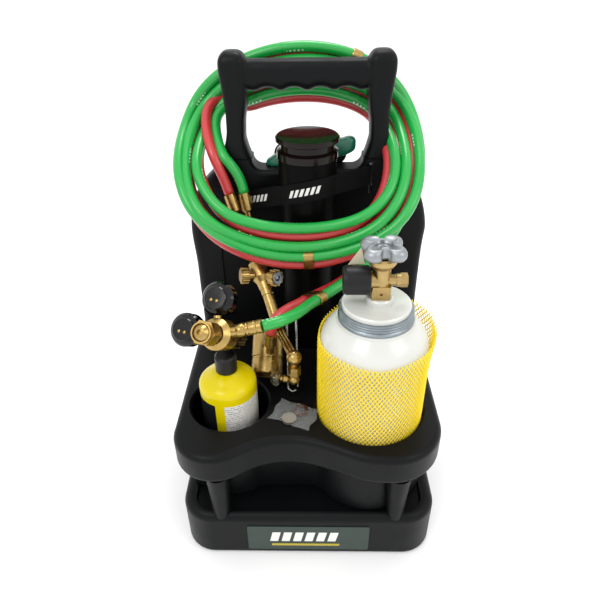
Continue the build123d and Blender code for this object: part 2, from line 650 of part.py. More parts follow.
FUEL_BARB_AT = FUEL_REG_AT + Vector(5.3, 8.6, 33.8)
FUEL_BARB_DIR = Vector(0.08, -0.14, 0.985).normalized()
fuel_barb_plane = along(FUEL_BARB_AT, FUEL_BARB_DIR)
with BuildPart() as fuel_hose_fitting:
    add(turned(fuel_barb_plane, [(0, 0), (5.6, 0), (5.6, 12), (7, 12), (8.4, 14), (8.4, 36), (0, 36)]).part)
    add(fuel_regulator_body.part, mode=Mode.SUBTRACT)
save(fuel_hose_fitting, "fuel_hose_fitting")
FUEL_HOSE_START = FUEL_BARB_AT + FUEL_BARB_DIR * 36

# ================= torch =================
TORCH_AT = Vector(FUEL_SIDE + 3.6, 54, SHELF_TOP + 130)
TORCH_AXIS = Vector(0.302, -0.723, -0.621).normalized()
TORCH_SIDE = TORCH_AXIS.cross(Vector(0, 0, 1)).normalized()
TORCH_UP = TORCH_AXIS.cross(TORCH_SIDE).normalized()
torch = Plane(origin=TORCH_AT, x_dir=TORCH_SIDE, z_dir=TORCH_AXIS)
HANDLE_LENGTH = 62.0
HEAD_AT = Vector(FUEL_SIDE + 49.5, -52, SHELF_TOP + 70)
KNOBS = {
    "oxygen": Vector(0.74, -0.62, 0.20),
    "fuel": Vector(-0.92, -0.34, 0.16),
}
KNOB_BORE = 3.0
KNOB_SEAT = 20.0            # face of each valve boss, out from the body's middle

with BuildPart() as torch_body:
    add(turned(torch.offset(-22), [(0, 0), (12, 0), (14.5, 4), (14.5, 26), (10.5, 34), (9, 44), (0, 44)]).part)
    for way in KNOBS.values():
        with BuildSketch(along(TORCH_AT, way)):
            Circle(7)
        extrude(amount=KNOB_SEAT)
        with BuildSketch(along((TORCH_AT + way.normalized() * 8), way)):
            Circle(KNOB_BORE + RUN)
        extrude(amount=16, mode=Mode.SUBTRACT)
save(torch_body, "torch_body")
for knob_name, way in KNOBS.items():
    seat = along((TORCH_AT + way.normalized() * (KNOB_SEAT + GAP)), way)
    with BuildPart() as torch_knob:
        with BuildSketch(seat):
            Circle(10.2)
            with PolarLocations(10.2, 10):
                Circle(1.5)
        extrude(amount=9.5)
        with BuildSketch(seat.offset(9.5)):
            Circle(9)
        extrude(amount=0.8)
        with BuildSketch(seat.offset(-9)):
            Circle(KNOB_BORE)
        extrude(amount=9.5)
    save(torch_knob, f"torch_knob_{knob_name}")

torch_handle = turned(
    torch.offset(22),
    [(0, 0), (8.4, 0), (8.4, 8), (7.6, 9), (7.6, HANDLE_LENGTH - 18), (9, HANDLE_LENGTH - 16),
     (9, HANDLE_LENGTH - 6), (6.5, HANDLE_LENGTH - 3), (0, HANDLE_LENGTH - 3)],
)
save(torch_handle, "torch_handle")

TUBES_START = TORCH_AT + TORCH_AXIS * (22 + HANDLE_LENGTH - 3)
with BuildPart() as torch_tubes:
    reach = HEAD_AT - TUBES_START
    for shift in (-4.2, 0.0, 4.2):
        with BuildSketch(along((TUBES_START + TORCH_SIDE * shift), reach)):
            Circle(2.1)
        extrude(amount=reach.length)
    # The tubes end in the head's upper ball.
    with Locations(HEAD_AT):
        Sphere(10, mode=Mode.SUBTRACT)
    add(torch_handle.part, mode=Mode.SUBTRACT)
save(torch_tubes, "torch_tubes")

HEX_AT = HEAD_AT - Vector(0.3, 0, 21)
BALL_AT = HEAD_AT - Vector(0.6, 0, 37)
with BuildPart() as torch_head:
    with Locations(HEAD_AT):
        Sphere(10)
    with BuildSketch(Plane(origin=HEX_AT - Vector(0, 0, 7))):
        RegularPolygon(7.4, 6, major_radius=False)
    extrude(amount=14)
    with Locations(BALL_AT):
        Sphere(7.4)
    with BuildSketch(Plane(origin=BALL_AT)):
        Circle(4.5)
    extrude(amount=30)
save(torch_head, "torch_head")

TIP_AT = BALL_AT + Vector(-24, 0, 4)
with BuildPart() as torch_nipple:
    nipple_plane = along(BALL_AT + Vector(-7, 0, 0.6), (-1, 0, 0.12), (0, 1, 0))
    add(turned(nipple_plane, [(0, 0), (3.2, 0), (5.2, 2), (5.2, 7), (3.4, 8.6), (3.4, 11.4), (0, 11.4)]).part)
    add(torch_head.part, mode=Mode.SUBTRACT)
save(torch_nipple, "torch_nipple")
with BuildPart() as torch_tip_nut:
    with BuildSketch(Plane(origin=TIP_AT - Vector(0, 0, 8))):
        RegularPolygon(6.6, 6, major_radius=False)
    extrude(amount=12)
    with BuildSketch(Plane(origin=TIP_AT + Vector(0, 0, 4))):
        Circle(6)
    extrude(amount=6)
    with BuildSketch(Plane(origin=TIP_AT - Vector(0, 0, 12))):
        Circle(4.4)
    extrude(amount=4)
    add(torch_nipple.part, mode=Mode.SUBTRACT)
save(torch_tip_nut, "torch_tip_nut")

# The two inlets run back from the body to the hoses' ferrules.
INLETS = {"green": (Vector(-86, 100, 431), Vector(-1, 6, 0)), "red": (Vector(-106, 100, 429), Vector(-9, 6, 2))}
FERRULE = 26.0
with BuildPart() as torch_inlets:
    for end, shift in INLETS.values():
        root = TORCH_AT - TORCH_AXIS * 20 + shift
        way = end - root
        with BuildSketch(along(root, way)):
            Circle(4.6)
        extrude(amount=way.length - FERRULE)
        with BuildSketch(along((root + way.normalized() * 12), way)):
            RegularPolygon(7, 6, major_radius=False)
        extrude(amount=13)
    add(torch_body.part, mode=Mode.SUBTRACT)
save(torch_inlets, "torch_inlets")
with BuildPart() as torch_ferrules:
    for end, shift in INLETS.values():
        root = TORCH_AT - TORCH_AXIS * 20 + shift
        way = (end - root).normalized()
        start = end - way * FERRULE
        add(turned(along(start, way), [(0, 0), (6.5, 0), (8.4, 3), (8.4, FERRULE), (0, FERRULE)]).part)
save(torch_ferrules, "torch_ferrules")

# ================= spark lighter =================
LIGHTER_FOOT = Vector(FUEL_SIDE + 47, -46, SHELF_TOP + 3.5)
LIGHTER_TOP = Vector(FUEL_SIDE + 43, 46, SHELF_TOP + 86)
LIGHTER_AXIS = (LIGHTER_TOP - LIGHTER_FOOT).normalized()
LIGHTER_LENGTH = (LIGHTER_TOP - LIGHTER_FOOT).length
lighter = Plane(
    origin=LIGHTER_FOOT, x_dir=LIGHTER_AXIS, z_dir=Vector(1, 0, 0).cross(LIGHTER_AXIS) * -1,
)
WIRE = 1.5
WIRE_SPREAD = 6.5           # each arm, off the middle
BEND_BACK = 12.0            # the bend's end, down from the lighter's top
FLEX_GAP = 0.5              # between the bend and the arm that springs from it


def wire_run(points, radius_list):
    """A round wire along straight runs with rounded corners, on the lighter's plane."""
    with BuildPart() as wire:
        with BuildLine(lighter) as path:
            FilletPolyline(*points, radius=radius_list)
        with BuildSketch(Plane(origin=path.line @ 0, z_dir=path.line % 0)):
            Circle(WIRE)
        sweep(path=path.line)
    return wire


lighter_bow = wire_run(
    [(8, WIRE_SPREAD), (LIGHTER_LENGTH - 8, WIRE_SPREAD), (LIGHTER_LENGTH, 0.02), (LIGHTER_LENGTH - 8, -WIRE_SPREAD),
     (LIGHTER_LENGTH - BEND_BACK, -WIRE_SPREAD - 0.01)],
    [4.5, 4.5, 4.5],
)
save(lighter_bow, "lighter_bow")
lighter_arm = wire_run(
    [(LIGHTER_LENGTH - BEND_BACK - FLEX_GAP, -WIRE_SPREAD), (6, -WIRE_SPREAD), (1.5, -0.5), (4, 4)],
    [4, 4],
)
save(lighter_arm, "lighter_arm")

# ================= goggles on the sill =================
with BuildPart() as goggles:
    with BuildSketch(Plane.XY.offset(WINDOW_SILL + GAP)):
        with Locations((4, 145.5)):
            RectangleRounded(134, 23, 9)
    extrude(amount=34)
    fillet(goggles.edges().group_by(Axis.Z)[-1], 8)
    fillet(goggles.edges().group_by(Axis.Z)[0], 8)
    add(carrier_back_panel.part, mode=Mode.SUBTRACT)
save(goggles, "goggles")

# ================= bag of spares on the shelf =================
BAG = Vector(-18, -86, SHELF_TOP + 0.2)


def pouch(scale, lift, height):
    """A low pillow: an oval foot that closes over in a shallow dome."""
    with BuildPart() as pillow:
        with BuildSketch(Plane(origin=BAG + Vector(0, 0, lift))):
            Ellipse(30 * scale, 23 * scale)
        with BuildSketch(Plane(origin=BAG + Vector(0, 0, lift + height))):
            Ellipse(20 * scale, 14 * scale)
        loft()
    return pillow


with BuildPart() as spares_bag:
    add(pouch(1.0, 0, 13).part)
    add(pouch(0.96, 0.8, 11.4).part, mode=Mode.SUBTRACT)
save(spares_bag, "spares_bag")
spare_disc = ring(Plane(origin=BAG + Vector(-6, -8, 1.2)), 9.5, 0, 4)
save(spare_disc, "spare_disc")
spare_ring = ring(Plane(origin=BAG + Vector(8, 7, 1.2)), 10, 7, 4)
save(spare_ring, "spare_ring")

# ================= hoses =================
# The coil lies over the panel's shoulders: in front of the tube below, behind the grip above.
with BuildPart() as hose_coil:
    with BuildSketch(Plane.XZ.offset(-200)):
        with Locations((0, 479)):
            Ellipse(168, 132)
            Ellipse(118, 62, mode=Mode.SUBTRACT)
    extrude(amount=200)
    with BuildSketch(Plane.YZ.offset(-180)):
        with BuildLine():
            Polyline(
                (53.5, 340), (53.5, 420), (118, 482), (180, 500), (194, 515), (194, 620), (161, 620), (160.5, 508),
                (86, 490), (22, 430), (22, 340), close=True,
            )
        make_face()
    extrude(amount=360, mode=Mode.INTERSECT)
save(hose_coil, "hose_coil")

OXY_LEAD = [
    tuple(OXY_HOSE_START), (-36, -74, 340), (-22, -62, 338.5), (-9, -44, 335), (2, -24, 332), (16, -6, 330),
    (32, 10, 331), (50, 25, 336), (74, 40, 349), (98, 57, 366), (121, 76, 390), (138, 93, 424), (148, 93, 464),
]
FUEL_LEAD = [
    tuple(FUEL_HOSE_START), (-46.8, -26, 304), (-33, -24, 320), (-10, -5, 321.5), (13, 17.5, 321), (33, 35, 321),
    (54, 49, 327), (77, 63, 345), (99, 78, 368), (118, 95, 396), (127, 104, 427), (131, 97, 461),
]
TORCH_LEAD_GREEN = [tuple(INLETS["green"][0]), (-89.5, 105, 448), (-101, 107.5, 467), (-121, 116, 492)]
TORCH_LEAD_RED = [tuple(INLETS["red"][0]), (-111, 104.5, 445), (-120, 106.5, 463), (-137, 113, 487)]


def hose(points):
    """A hose along straight runs, each corner rounded as far as its two runs allow."""
    corners = []
    for before, here, after in zip(points, points[1:], points[2:]):
        first = Vector(*here) - Vector(*before)
        second = Vector(*after) - Vector(*here)
        half_turn = math.radians(first.get_angle(second)) / 2
        corners.append(0.45 * min(first.length, second.length) / math.tan(half_turn))
    with BuildPart() as tube:
        with BuildLine() as path:
            FilletPolyline(*points, radius=corners)
        with BuildSketch(Plane(origin=path.line @ 0, z_dir=path.line % 0)):
            Circle(HOSE / 2)
        sweep(path=path.line)
    length = sum(edge.length for edge in path.line.edges())
    drawn = math.pi * HOSE**2 / 4 * length
    print("hose radii", [round(c) for c in corners], "length", round(length),
          "volume ratio", round(tube.part.volume / drawn, 4))
    return tube


for hose_label, hose_points in (
    ("oxygen_hose_lead", OXY_LEAD), ("fuel_hose_lead", FUEL_LEAD),
    ("torch_lead_green", TORCH_LEAD_GREEN), ("torch_lead_red", TORCH_LEAD_RED),
):
    save(hose(hose_points), hose_label)

with BuildPart() as hose_clips:
    with BuildSketch(Plane(origin=(-11, 30, 362), x_dir=(0, 1, 0), z_dir=(1, 0, 0))):
        RectangleRounded(18.4, 33, 7)
        RectangleRounded(16.4, 31, 6, mode=Mode.SUBTRACT)
    extrude(amount=17)
save(hose_clips, "hose_clips")
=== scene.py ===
import logging
import math
from dataclasses import dataclass, field
from enum import Enum
from functools import cache

import bmesh
import bpy
import numpy as np
from mathutils import Matrix, Vector


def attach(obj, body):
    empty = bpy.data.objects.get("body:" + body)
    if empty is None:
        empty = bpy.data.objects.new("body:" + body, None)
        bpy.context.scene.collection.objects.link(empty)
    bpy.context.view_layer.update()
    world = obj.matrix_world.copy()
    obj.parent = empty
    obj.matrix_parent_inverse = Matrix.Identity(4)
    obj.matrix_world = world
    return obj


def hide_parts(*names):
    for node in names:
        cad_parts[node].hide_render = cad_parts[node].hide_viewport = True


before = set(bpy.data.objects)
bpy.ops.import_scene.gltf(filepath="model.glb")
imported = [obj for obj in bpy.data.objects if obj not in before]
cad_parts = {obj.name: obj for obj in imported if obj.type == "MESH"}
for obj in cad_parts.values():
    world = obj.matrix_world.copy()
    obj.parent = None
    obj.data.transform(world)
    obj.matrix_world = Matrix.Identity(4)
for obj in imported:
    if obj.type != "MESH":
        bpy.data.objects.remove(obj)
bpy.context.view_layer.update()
LOG = logging.getLogger("torch_outfit")
MM = 0.001
METRE_MM = 1000.0
REGULATOR_MM = (-108.0, -73.0, 321.5)   # the oxygen regulator's middle
Tree = bpy.types.NodeTree
Socket = bpy.types.NodeSocket
Colour = tuple[float, float, float, float]


# ---------------------------------------------------------------- colour and nodes
def linear(hex_colour: str) -> Colour:
    """Turn an sRGB hex colour into linear RGBA.

    Args:
        hex_colour: Six hex digits, such as "1A7F3C".

    Returns:
        Linear red, green, blue and an alpha of one.
    """
    channels = [int(hex_colour[i:i + 2], 16) / 255 for i in (0, 2, 4)]
    out = [c / 12.92 if c <= 0.04045 else ((c + 0.055) / 1.055) ** 2.4 for c in channels]
    return (out[0], out[1], out[2], 1.0)


def add_node(tree: Tree, kind: str, settings: dict = None, **inputs) -> bpy.types.Node:
    """Add one shader node.

    Args:
        tree: The material's node tree.
        kind: The node's Blender type name.
        settings: Attributes to set on the node.
        inputs: Socket values or links, keyed by socket name, or "i0", "i1" for the socket's number.

    Returns:
        The new node.
    """
    node = tree.nodes.new(kind)
    for key, value in (settings or {}).items():
        setattr(node, key, value)
    for key, value in inputs.items():
        numbered = key[0] == "i" and key[1:].isdigit()
        socket = node.inputs[int(key[1:])] if numbered else node.inputs[key.replace("_", " ")]
        if isinstance(value, Socket):
            tree.links.new(value, socket)
        else:
            socket.default_value = value
    return node


def maths(tree: Tree, operation: str, *values: Socket | float) -> Socket:
    """Result of one maths node.

    Args:
        tree: The material's node tree.
        operation: What the node does.
        values: Numbers or links, one per input.
    """
    inputs = {f"i{number}": value for number, value in enumerate(values)}
    return add_node(tree, "ShaderNodeMath", {"operation": operation}, **inputs).outputs[0]


def overlap(tree: Tree, mask: Socket, *others: Socket) -> Socket:
    """Product of masks: one where all of them are one."""
    for other in others:
        mask = maths(tree, "MULTIPLY", mask, other)
    return mask


def stripes(tree: Tree, along: Socket, pitch_mm: float, share: float) -> Socket:
    """One over the first share of every pitch along a distance in metres, zero over the rest."""
    cycle = maths(tree, "FRACT", maths(tree, "MULTIPLY", along, METRE_MM / pitch_mm))
    return maths(tree, "LESS_THAN", cycle, share)


def blend(tree: Tree, share: Socket, first: Socket | Colour, second: Socket | Colour) -> Socket:
    """The first colour where the share is zero, the second where it is one."""
    return add_node(tree, "ShaderNodeMix", {"data_type": "RGBA"}, i0=share, i6=first, i7=second).outputs[2]


def mapped_pair(tree: Tree) -> tuple[Socket, Socket]:
    """Both texture positions of a piece."""
    uv = add_node(tree, "ShaderNodeSeparateXYZ", Vector=add_node(tree, "ShaderNodeTexCoord").outputs["UV"])
    return uv.outputs[0], uv.outputs[1]


class Sheen(Enum):
    """How much clear gloss lies over a finish."""

    NONE = 0.0
    THIN = 0.25
    FULL = 0.7


@dataclass(frozen=True)
class Finish:
    """A solid finish with clouded colour, fine grain and wandering roughness."""

    name: str
    base: str
    shade: str
    roughness: float
    spread: float = 0.08
    metallic: float = 0.0
    grain_mm: float = 1.0
    bump_mm: float = 0.03
    cloud_mm: float = 30.0
    sheen: Sheen = Sheen.NONE
    stretch: tuple[float, float, float] = (1.0, 1.0, 1.0)
    alpha: float = 1.0
    transmission: float = 0.0
    specular: float = 0.5

    def colour(self, tree: Tree, place: Socket) -> Socket:
        """Base colour: two shades mixed by a soft cloud pattern."""
        cloud = add_node(tree, "ShaderNodeTexNoise", Vector=place, Scale=METRE_MM / self.cloud_mm, Detail=4.0)
        return blend(tree, cloud.outputs["Fac"], linear(self.base), linear(self.shade))

    @cache
    def build(self) -> bpy.types.Material:
        """Make the Blender material.

        Returns:
            The material, made once per finish.
        """
        material = bpy.data.materials.new(self.name)
        material.use_nodes = True
        tree = material.node_tree
        shader = tree.nodes["Principled BSDF"]
        place = add_node(tree, "ShaderNodeTexCoord").outputs["Object"]
        mapped = add_node(tree, "ShaderNodeMapping", Vector=place, Scale=self.stretch).outputs["Vector"]
        tree.links.new(self.colour(tree, mapped), shader.inputs["Base Color"])
        patch = add_node(tree, "ShaderNodeTexNoise", Vector=mapped, Detail=5.0,
                         Scale=1.6 * METRE_MM / self.cloud_mm)
        rough = add_node(tree, "ShaderNodeMapRange", Value=patch.outputs["Fac"], i1=0.3, i2=0.7,
                         i3=max(0.02, self.roughness - self.spread), i4=self.roughness + self.spread)
        tree.links.new(rough.outputs[0], shader.inputs["Roughness"])
        grain = add_node(tree, "ShaderNodeTexNoise", Vector=mapped, Detail=3.0, Scale=METRE_MM / self.grain_mm)
        bump = add_node(tree, "ShaderNodeBump", Strength=0.6, Distance=self.bump_mm * MM,
                        Height=grain.outputs["Fac"])
        tree.links.new(bump.outputs["Normal"], shader.inputs["Normal"])
        shader.inputs["Metallic"].default_value = self.metallic
        shader.inputs["Specular IOR Level"].default_value = self.specular
        if self.sheen is not Sheen.NONE:
            shader.inputs["Coat Weight"].default_value = self.sheen.value
            shader.inputs["Coat Roughness"].default_value = 0.12
        if self.alpha < 1.0:
            shader.inputs["Alpha"].default_value = self.alpha
        if self.transmission > 0.0:
            shader.inputs["Transmission Weight"].default_value = self.transmission
        return material


@dataclass(frozen=True)
class PrintedRubber(Finish):
    """Hose rubber with small pale print marks in a row along the outside."""

    marks: bool = True
    pitch_mm: float = 150.0
    group_share: float = 0.15
    dash_mm: float = 5.5
    row_share: float = 0.035
    ink: str = "C9E6CF"

    def colour(self, tree: Tree, place: Socket) -> Socket:
        """Clouded rubber; where the distance along the hose and the angle round it fit, a pale dash."""
        body = super().colour(tree, place)
        if not self.marks:
            return body
        turn, along = mapped_pair(tree)
        group = stripes(tree, along, self.pitch_mm, self.group_share)
        dash = stripes(tree, along, self.dash_mm, 0.5)
        away = maths(tree, "PINGPONG", maths(tree, "ADD", turn, 0.25), 0.25)
        row = maths(tree, "LESS_THAN", away, self.row_share)
        return blend(tree, overlap(tree, group, dash, row), body, linear(self.ink))


@dataclass(frozen=True)
class Webbing(Finish):
    """Woven nylon with pale slanting dashes woven or printed along its middle."""

    slant: float = -0.35
    block_mm: float = 7.0
    group_mm: float = 84.0
    half_height: float = 0.0048
    printed_length: float = 0.150
    ink: str = "D8D8D4"

    def colour(self, tree: Tree, place: Socket) -> Socket:
        """Black weave; slanted blocks where the length along the strap and its height fit a short row."""
        body = super().colour(tree, place)
        along, height = mapped_pair(tree)
        lean = maths(tree, "MULTIPLY_ADD", height, self.slant, along)
        block = stripes(tree, lean, self.block_mm, 0.62)
        group = stripes(tree, lean, self.group_mm, 0.48)
        front = maths(tree, "LESS_THAN", along, self.printed_length)
        middle = maths(tree, "LESS_THAN", maths(tree, "ABSOLUTE", height), self.half_height)
        return blend(tree, overlap(tree, block, group, front, middle), body, linear(self.ink))


@dataclass(frozen=True)
class BandedEnamel(Finish):
    """Fuel cylinder paint: bright enamel, with a dark panel and a pale printed panel round its side."""

    axis_mm: tuple[float, float] = (-104.5, -59.0)
    label_top_mm: float = 224.0
    line_mm: float = 3.4
    dark_below: float = -0.36
    pale_above: float = -0.03
    dark: str = "17181A"
    pale: str = "D9D8D4"
    ink: str = "8C8A88"

    def colour(self, tree: Tree, place: Socket) -> Socket:
        """Below the label's top, the angle round the axis picks dark panel, paint or pale panel."""
        paint = super().colour(tree, place)
        moved = add_node(tree, "ShaderNodeMapping", Vector=place,
                         Location=(-self.axis_mm[0] * MM, -self.axis_mm[1] * MM, 0.0))
        x, y, height = add_node(tree, "ShaderNodeSeparateXYZ", Vector=moved.outputs["Vector"]).outputs
        angle = maths(tree, "ARCTAN2", x, maths(tree, "MULTIPLY", y, -1.0))
        low = maths(tree, "LESS_THAN", height, self.label_top_mm * MM)
        words = add_node(tree, "ShaderNodeTexNoise", Vector=place, Scale=420.0, Detail=1.0)
        broken = maths(tree, "GREATER_THAN", words.outputs["Fac"], 0.5)
        text = overlap(tree, stripes(tree, height, self.line_mm, 0.38), broken)
        pale = blend(tree, text, linear(self.pale), linear(self.ink))
        right = overlap(tree, low, maths(tree, "GREATER_THAN", angle, self.pale_above))
        left = overlap(tree, low, maths(tree, "LESS_THAN", angle, self.dark_below))
        return blend(tree, left, blend(tree, right, paint, pale), linear(self.dark))


# Blow-moulded polyethylene: near black, fine satin grain, soft grey highlights along rounded edges.
MOULDED = Finish("blow_moulded_polyethylene", "08090A", "0D0E10", 0.42, 0.06, grain_mm=1.3, bump_mm=0.12,
                 cloud_mm=60, specular=0.14)
TUBE = Finish("extruded_polyethylene", "040404", "070707", 0.34, 0.05, grain_mm=1.6, bump_mm=0.02,
              cloud_mm=50, specular=0.05)
# The tube's cap is harder and glossier, with a brown cast.
CAP = Finish("glossy_polystyrene", "0E0807", "150C0A", 0.10, 0.03, grain_mm=3.0, bump_mm=0.01, specular=0.22)
BLACK_GLOSS = Finish("phenolic_black", "050505", "080808", 0.08, 0.04, grain_mm=3.0, bump_mm=0.006,
                     specular=0.4)
BLACK_SATIN = Finish("black_vinyl", "0B0B0C", "111112", 0.42, 0.06, grain_mm=0.9, bump_mm=0.04, specular=0.3)
# Machined brass, lightly lacquered: warm, with turning marks and darker patches.
BRASS = Finish("machined_brass", "C0A466", "9C7F48", 0.31, 0.09, 1.0, 0.7, 0.012, 12.0)
BRASS_DULL = Finish("cast_brass", "C2A872", "9C8352", 0.36, 0.08, 1.0, 1.2, 0.03, 10.0)
# White enamel baked on steel: slightly creamy, glossy, faintly dimpled.
WHITE = Finish("baked_white_enamel", "D0D1CC", "C8C9C3", 0.22, 0.05, grain_mm=4.0, bump_mm=0.02,
               sheen=Sheen.THIN)
ZINC = Finish("zinc_plate", "9AA3A8", "7C858A", 0.34, 0.10, 1.0, 1.0, 0.02, 9.0)
ALLOY = Finish("die_cast_alloy", "8E9296", "A4A8AB", 0.42, 0.08, 0.85, 1.2, 0.05, 12.0)
STEEL = Finish("plated_steel", "B9B29C", "989178", 0.26, 0.08, 1.0, 0.8, 0.01, 8.0)
WIRE = Finish("drawn_wire", "A7A6A2", "8A8984", 0.28, 0.08, 1.0, 0.6, 0.01, 8.0)
ENAMEL = BandedEnamel("baked_yellow_enamel", "D6C400", "CAB600", 0.20, 0.04, grain_mm=4.0, bump_mm=0.01,
                      specular=0.3)
NET = Finish("polyethylene_net", "F6D60C", "FADF24", 0.42, 0.06, grain_mm=1.5, bump_mm=0.02)
GREEN = PrintedRubber("green_hose_rubber", "15973A", "1BA544", 0.30, 0.05, grain_mm=2.2, bump_mm=0.03,
                      cloud_mm=80, sheen=Sheen.THIN)
RED = PrintedRubber("red_hose_rubber", "B42A2E", "C23A3C", 0.34, 0.05, grain_mm=2.2, bump_mm=0.03,
                    cloud_mm=80, sheen=Sheen.THIN, marks=False)
WEB = Webbing("nylon_webbing", "060606", "0B0B0C", 0.70, 0.05, grain_mm=0.8, bump_mm=0.12, specular=0.1)
TEAL = Finish("teal_vinyl", "0C5B43", "0F6A50", 0.32, 0.06, grain_mm=2.0, bump_mm=0.03, sheen=Sheen.THIN)
LENS = Finish("dark_lens", "10160F", "182016", 0.12, 0.03, grain_mm=5.0, bump_mm=0.005)
FILM = Finish("polythene_film", "E9EDEE", "DDE3E6", 0.08, 0.04, grain_mm=6.0, bump_mm=0.6, alpha=0.10,
              specular=0.8)
PLATE = Finish("printed_plate", "1B2E26", "20342B", 0.38, 0.05, grain_mm=2.0, bump_mm=0.01)
WHITE_INK = Finish("white_ink", "E8E8E4", "DEDEDA", 0.40, 0.04, grain_mm=2.0, bump_mm=0.01)
YELLOW_INK = Finish("yellow_ink", "B9A62B", "A89626", 0.40, 0.04, grain_mm=2.0, bump_mm=0.01)
DIAL = Finish("dial_enamel", "E9E8E2", "DFDED8", 0.45, 0.04, grain_mm=2.0, bump_mm=0.01)
GLASS = Finish("gauge_glass", "F4F7F7", "EEF2F2", 0.05, 0.02, grain_mm=9.0, bump_mm=0.005, transmission=1.0)
DISC = Finish("aluminium_blank", "B6B4AC", "A3A198", 0.38, 0.08, 0.9, 1.0, 0.02, 7.0)
COPPER = Finish("copper_washer", "9C6A45", "84553A", 0.36, 0.08, 1.0, 1.0, 0.02, 7.0)
POINTER = Finish("pointer_paint", "0B0B0B", "101010", 0.5)
CARD = Finish("card_tag", "D8D2B8", "CBC5A9", 0.70, 0.05, grain_mm=1.0, bump_mm=0.03)
FLOOR = Finish("pale_floor", "FDFDFD", "FBFBFB", 0.9, grain_mm=20, bump_mm=0.01)


# ---------------------------------------------------------------- mesh helpers
def grid_faces(rows: int, cols: int, wrap_rows: bool, wrap_cols: bool) -> np.ndarray:
    """Quads of a rows by cols grid of points, as whole arrays.

    Args:
        rows: Number of points along the first parameter.
        cols: Number of points along the second parameter.
        wrap_rows: Join the last row to the first.
        wrap_cols: Join the last column to the first.

    Returns:
        An array of four point numbers per quad.
    """
    i = np.arange(rows if wrap_rows else rows - 1)[:, None]
    j = np.arange(cols if wrap_cols else cols - 1)[None, :]
    a, b = i * cols + j, i * cols + (j + 1) % cols
    c, d = ((i + 1) % rows) * cols + (j + 1) % cols, ((i + 1) % rows) * cols + j
    return np.stack([a, b, c, d], axis=-1).reshape(-1, 4)


def rod_faces(rows: int, sides: int, base: int = 0) -> list:
    """Faces of stacked rings, closed at both ends, numbered from base."""
    ends = (range(sides - 1, -1, -1), range((rows - 1) * sides, rows * sides))
    return (grid_faces(rows, sides, False, True) + base).tolist() + [[base + k for k in end] for end in ends]


def add_object(name: str, data: bpy.types.ID) -> bpy.types.Object:
    """Put a mesh, curve, light or camera into the scene."""
    thing = bpy.data.objects.new(name, data)
    bpy.context.scene.collection.objects.link(thing)
    return thing


def make_piece(name: str, points: np.ndarray, faces: list, body: str, finish: Finish,
               uv: np.ndarray = None, smooth: bool = True, closed: bool = True) -> bpy.types.Object:
    """Put points and faces into a mesh that rides on a CAD body.

    Args:
        name: The piece's name.
        points: Point positions in metres, one row each.
        faces: Lists of point numbers.
        body: The CAD body that it rides on.
        finish: Its finish.
        uv: Texture positions, one row per face corner.
        smooth: Shade smooth.
        closed: The mesh is closed, so its faces are turned to point outwards.

    Returns:
        The new object.
    """
    mesh = bpy.data.meshes.new(name)
    mesh.from_pydata(np.asarray(points).reshape(-1, 3).tolist(), [], [list(f) for f in faces])
    if uv is not None:
        layer = mesh.uv_layers.new(name="UVMap")
        layer.data.foreach_set("uv", np.asarray(uv, np.float32).ravel())
    mesh.update()
    if closed:
        shell = bmesh.new()
        shell.from_mesh(mesh)
        bmesh.ops.recalc_face_normals(shell, faces=shell.faces)
        shell.to_mesh(mesh)
        shell.free()
    mesh.polygons.foreach_set("use_smooth", np.full(len(mesh.polygons), smooth))
    piece = add_object(name, mesh)
    mesh.materials.append(finish.build())
    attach(piece, body)
    LOG.info("%s: %d faces on %s", name, len(mesh.polygons), body)
    return piece


def frames_along(path: np.ndarray, start: tuple[float, float, float]) -> tuple[np.ndarray, ...]:
    """Tangents, normals and side vectors along a path; each normal is the last one, squared to the tangent.

    Args:
        path: Points of the path.
        start: A direction that the first normal is taken from.

    Returns:
        Three arrays of unit vectors.
    """
    tangent = np.gradient(path, axis=0)
    tangent /= np.linalg.norm(tangent, axis=1, keepdims=True)
    normal = np.empty_like(path)
    last = np.array(start, float)
    for i, t in enumerate(tangent):
        last = last - t * (last @ t)
        last /= np.linalg.norm(last)
        normal[i] = last
    return tangent, normal, np.cross(tangent, normal)


def sweep(path: np.ndarray, radius: np.ndarray, sides: int, start: tuple = (0.0, 0.0, 1.0)) -> tuple:
    """A round tube: centre + radius * (cos a * normal + sin a * side), a running once round.

    Args:
        path: Centre line.
        radius: Radius at each point of it, or one for all.
        sides: Points in each ring.
        start: A direction that fixes where each ring begins.

    Returns:
        Points, faces with both ends closed, and texture positions (share of the turn, metres along).
    """
    _, normal, side = frames_along(path, start)
    angle = np.linspace(0, 2 * math.pi, sides, endpoint=False)
    reach = np.broadcast_to(np.asarray(radius, float), (len(path),))[:, None, None]
    ring = np.cos(angle)[None, :, None] * normal[:, None] + np.sin(angle)[None, :, None] * side[:, None]
    points = path[:, None] + reach * ring
    run = np.concatenate([[0], np.cumsum(np.linalg.norm(np.diff(path, axis=0), axis=1))])
    i, j = np.meshgrid(np.arange(len(path) - 1), np.arange(sides), indexing="ij")
    around, along = np.stack([j, j + 1, j + 1, j], -1) / sides, run[np.stack([i, i, i + 1, i + 1], -1)]
    uv = np.stack([around, along], -1).reshape(-1, 2)
    uv = np.concatenate([uv, np.zeros((2 * sides, 2))])
    return points.reshape(-1, 3), rod_faces(len(path), sides), uv


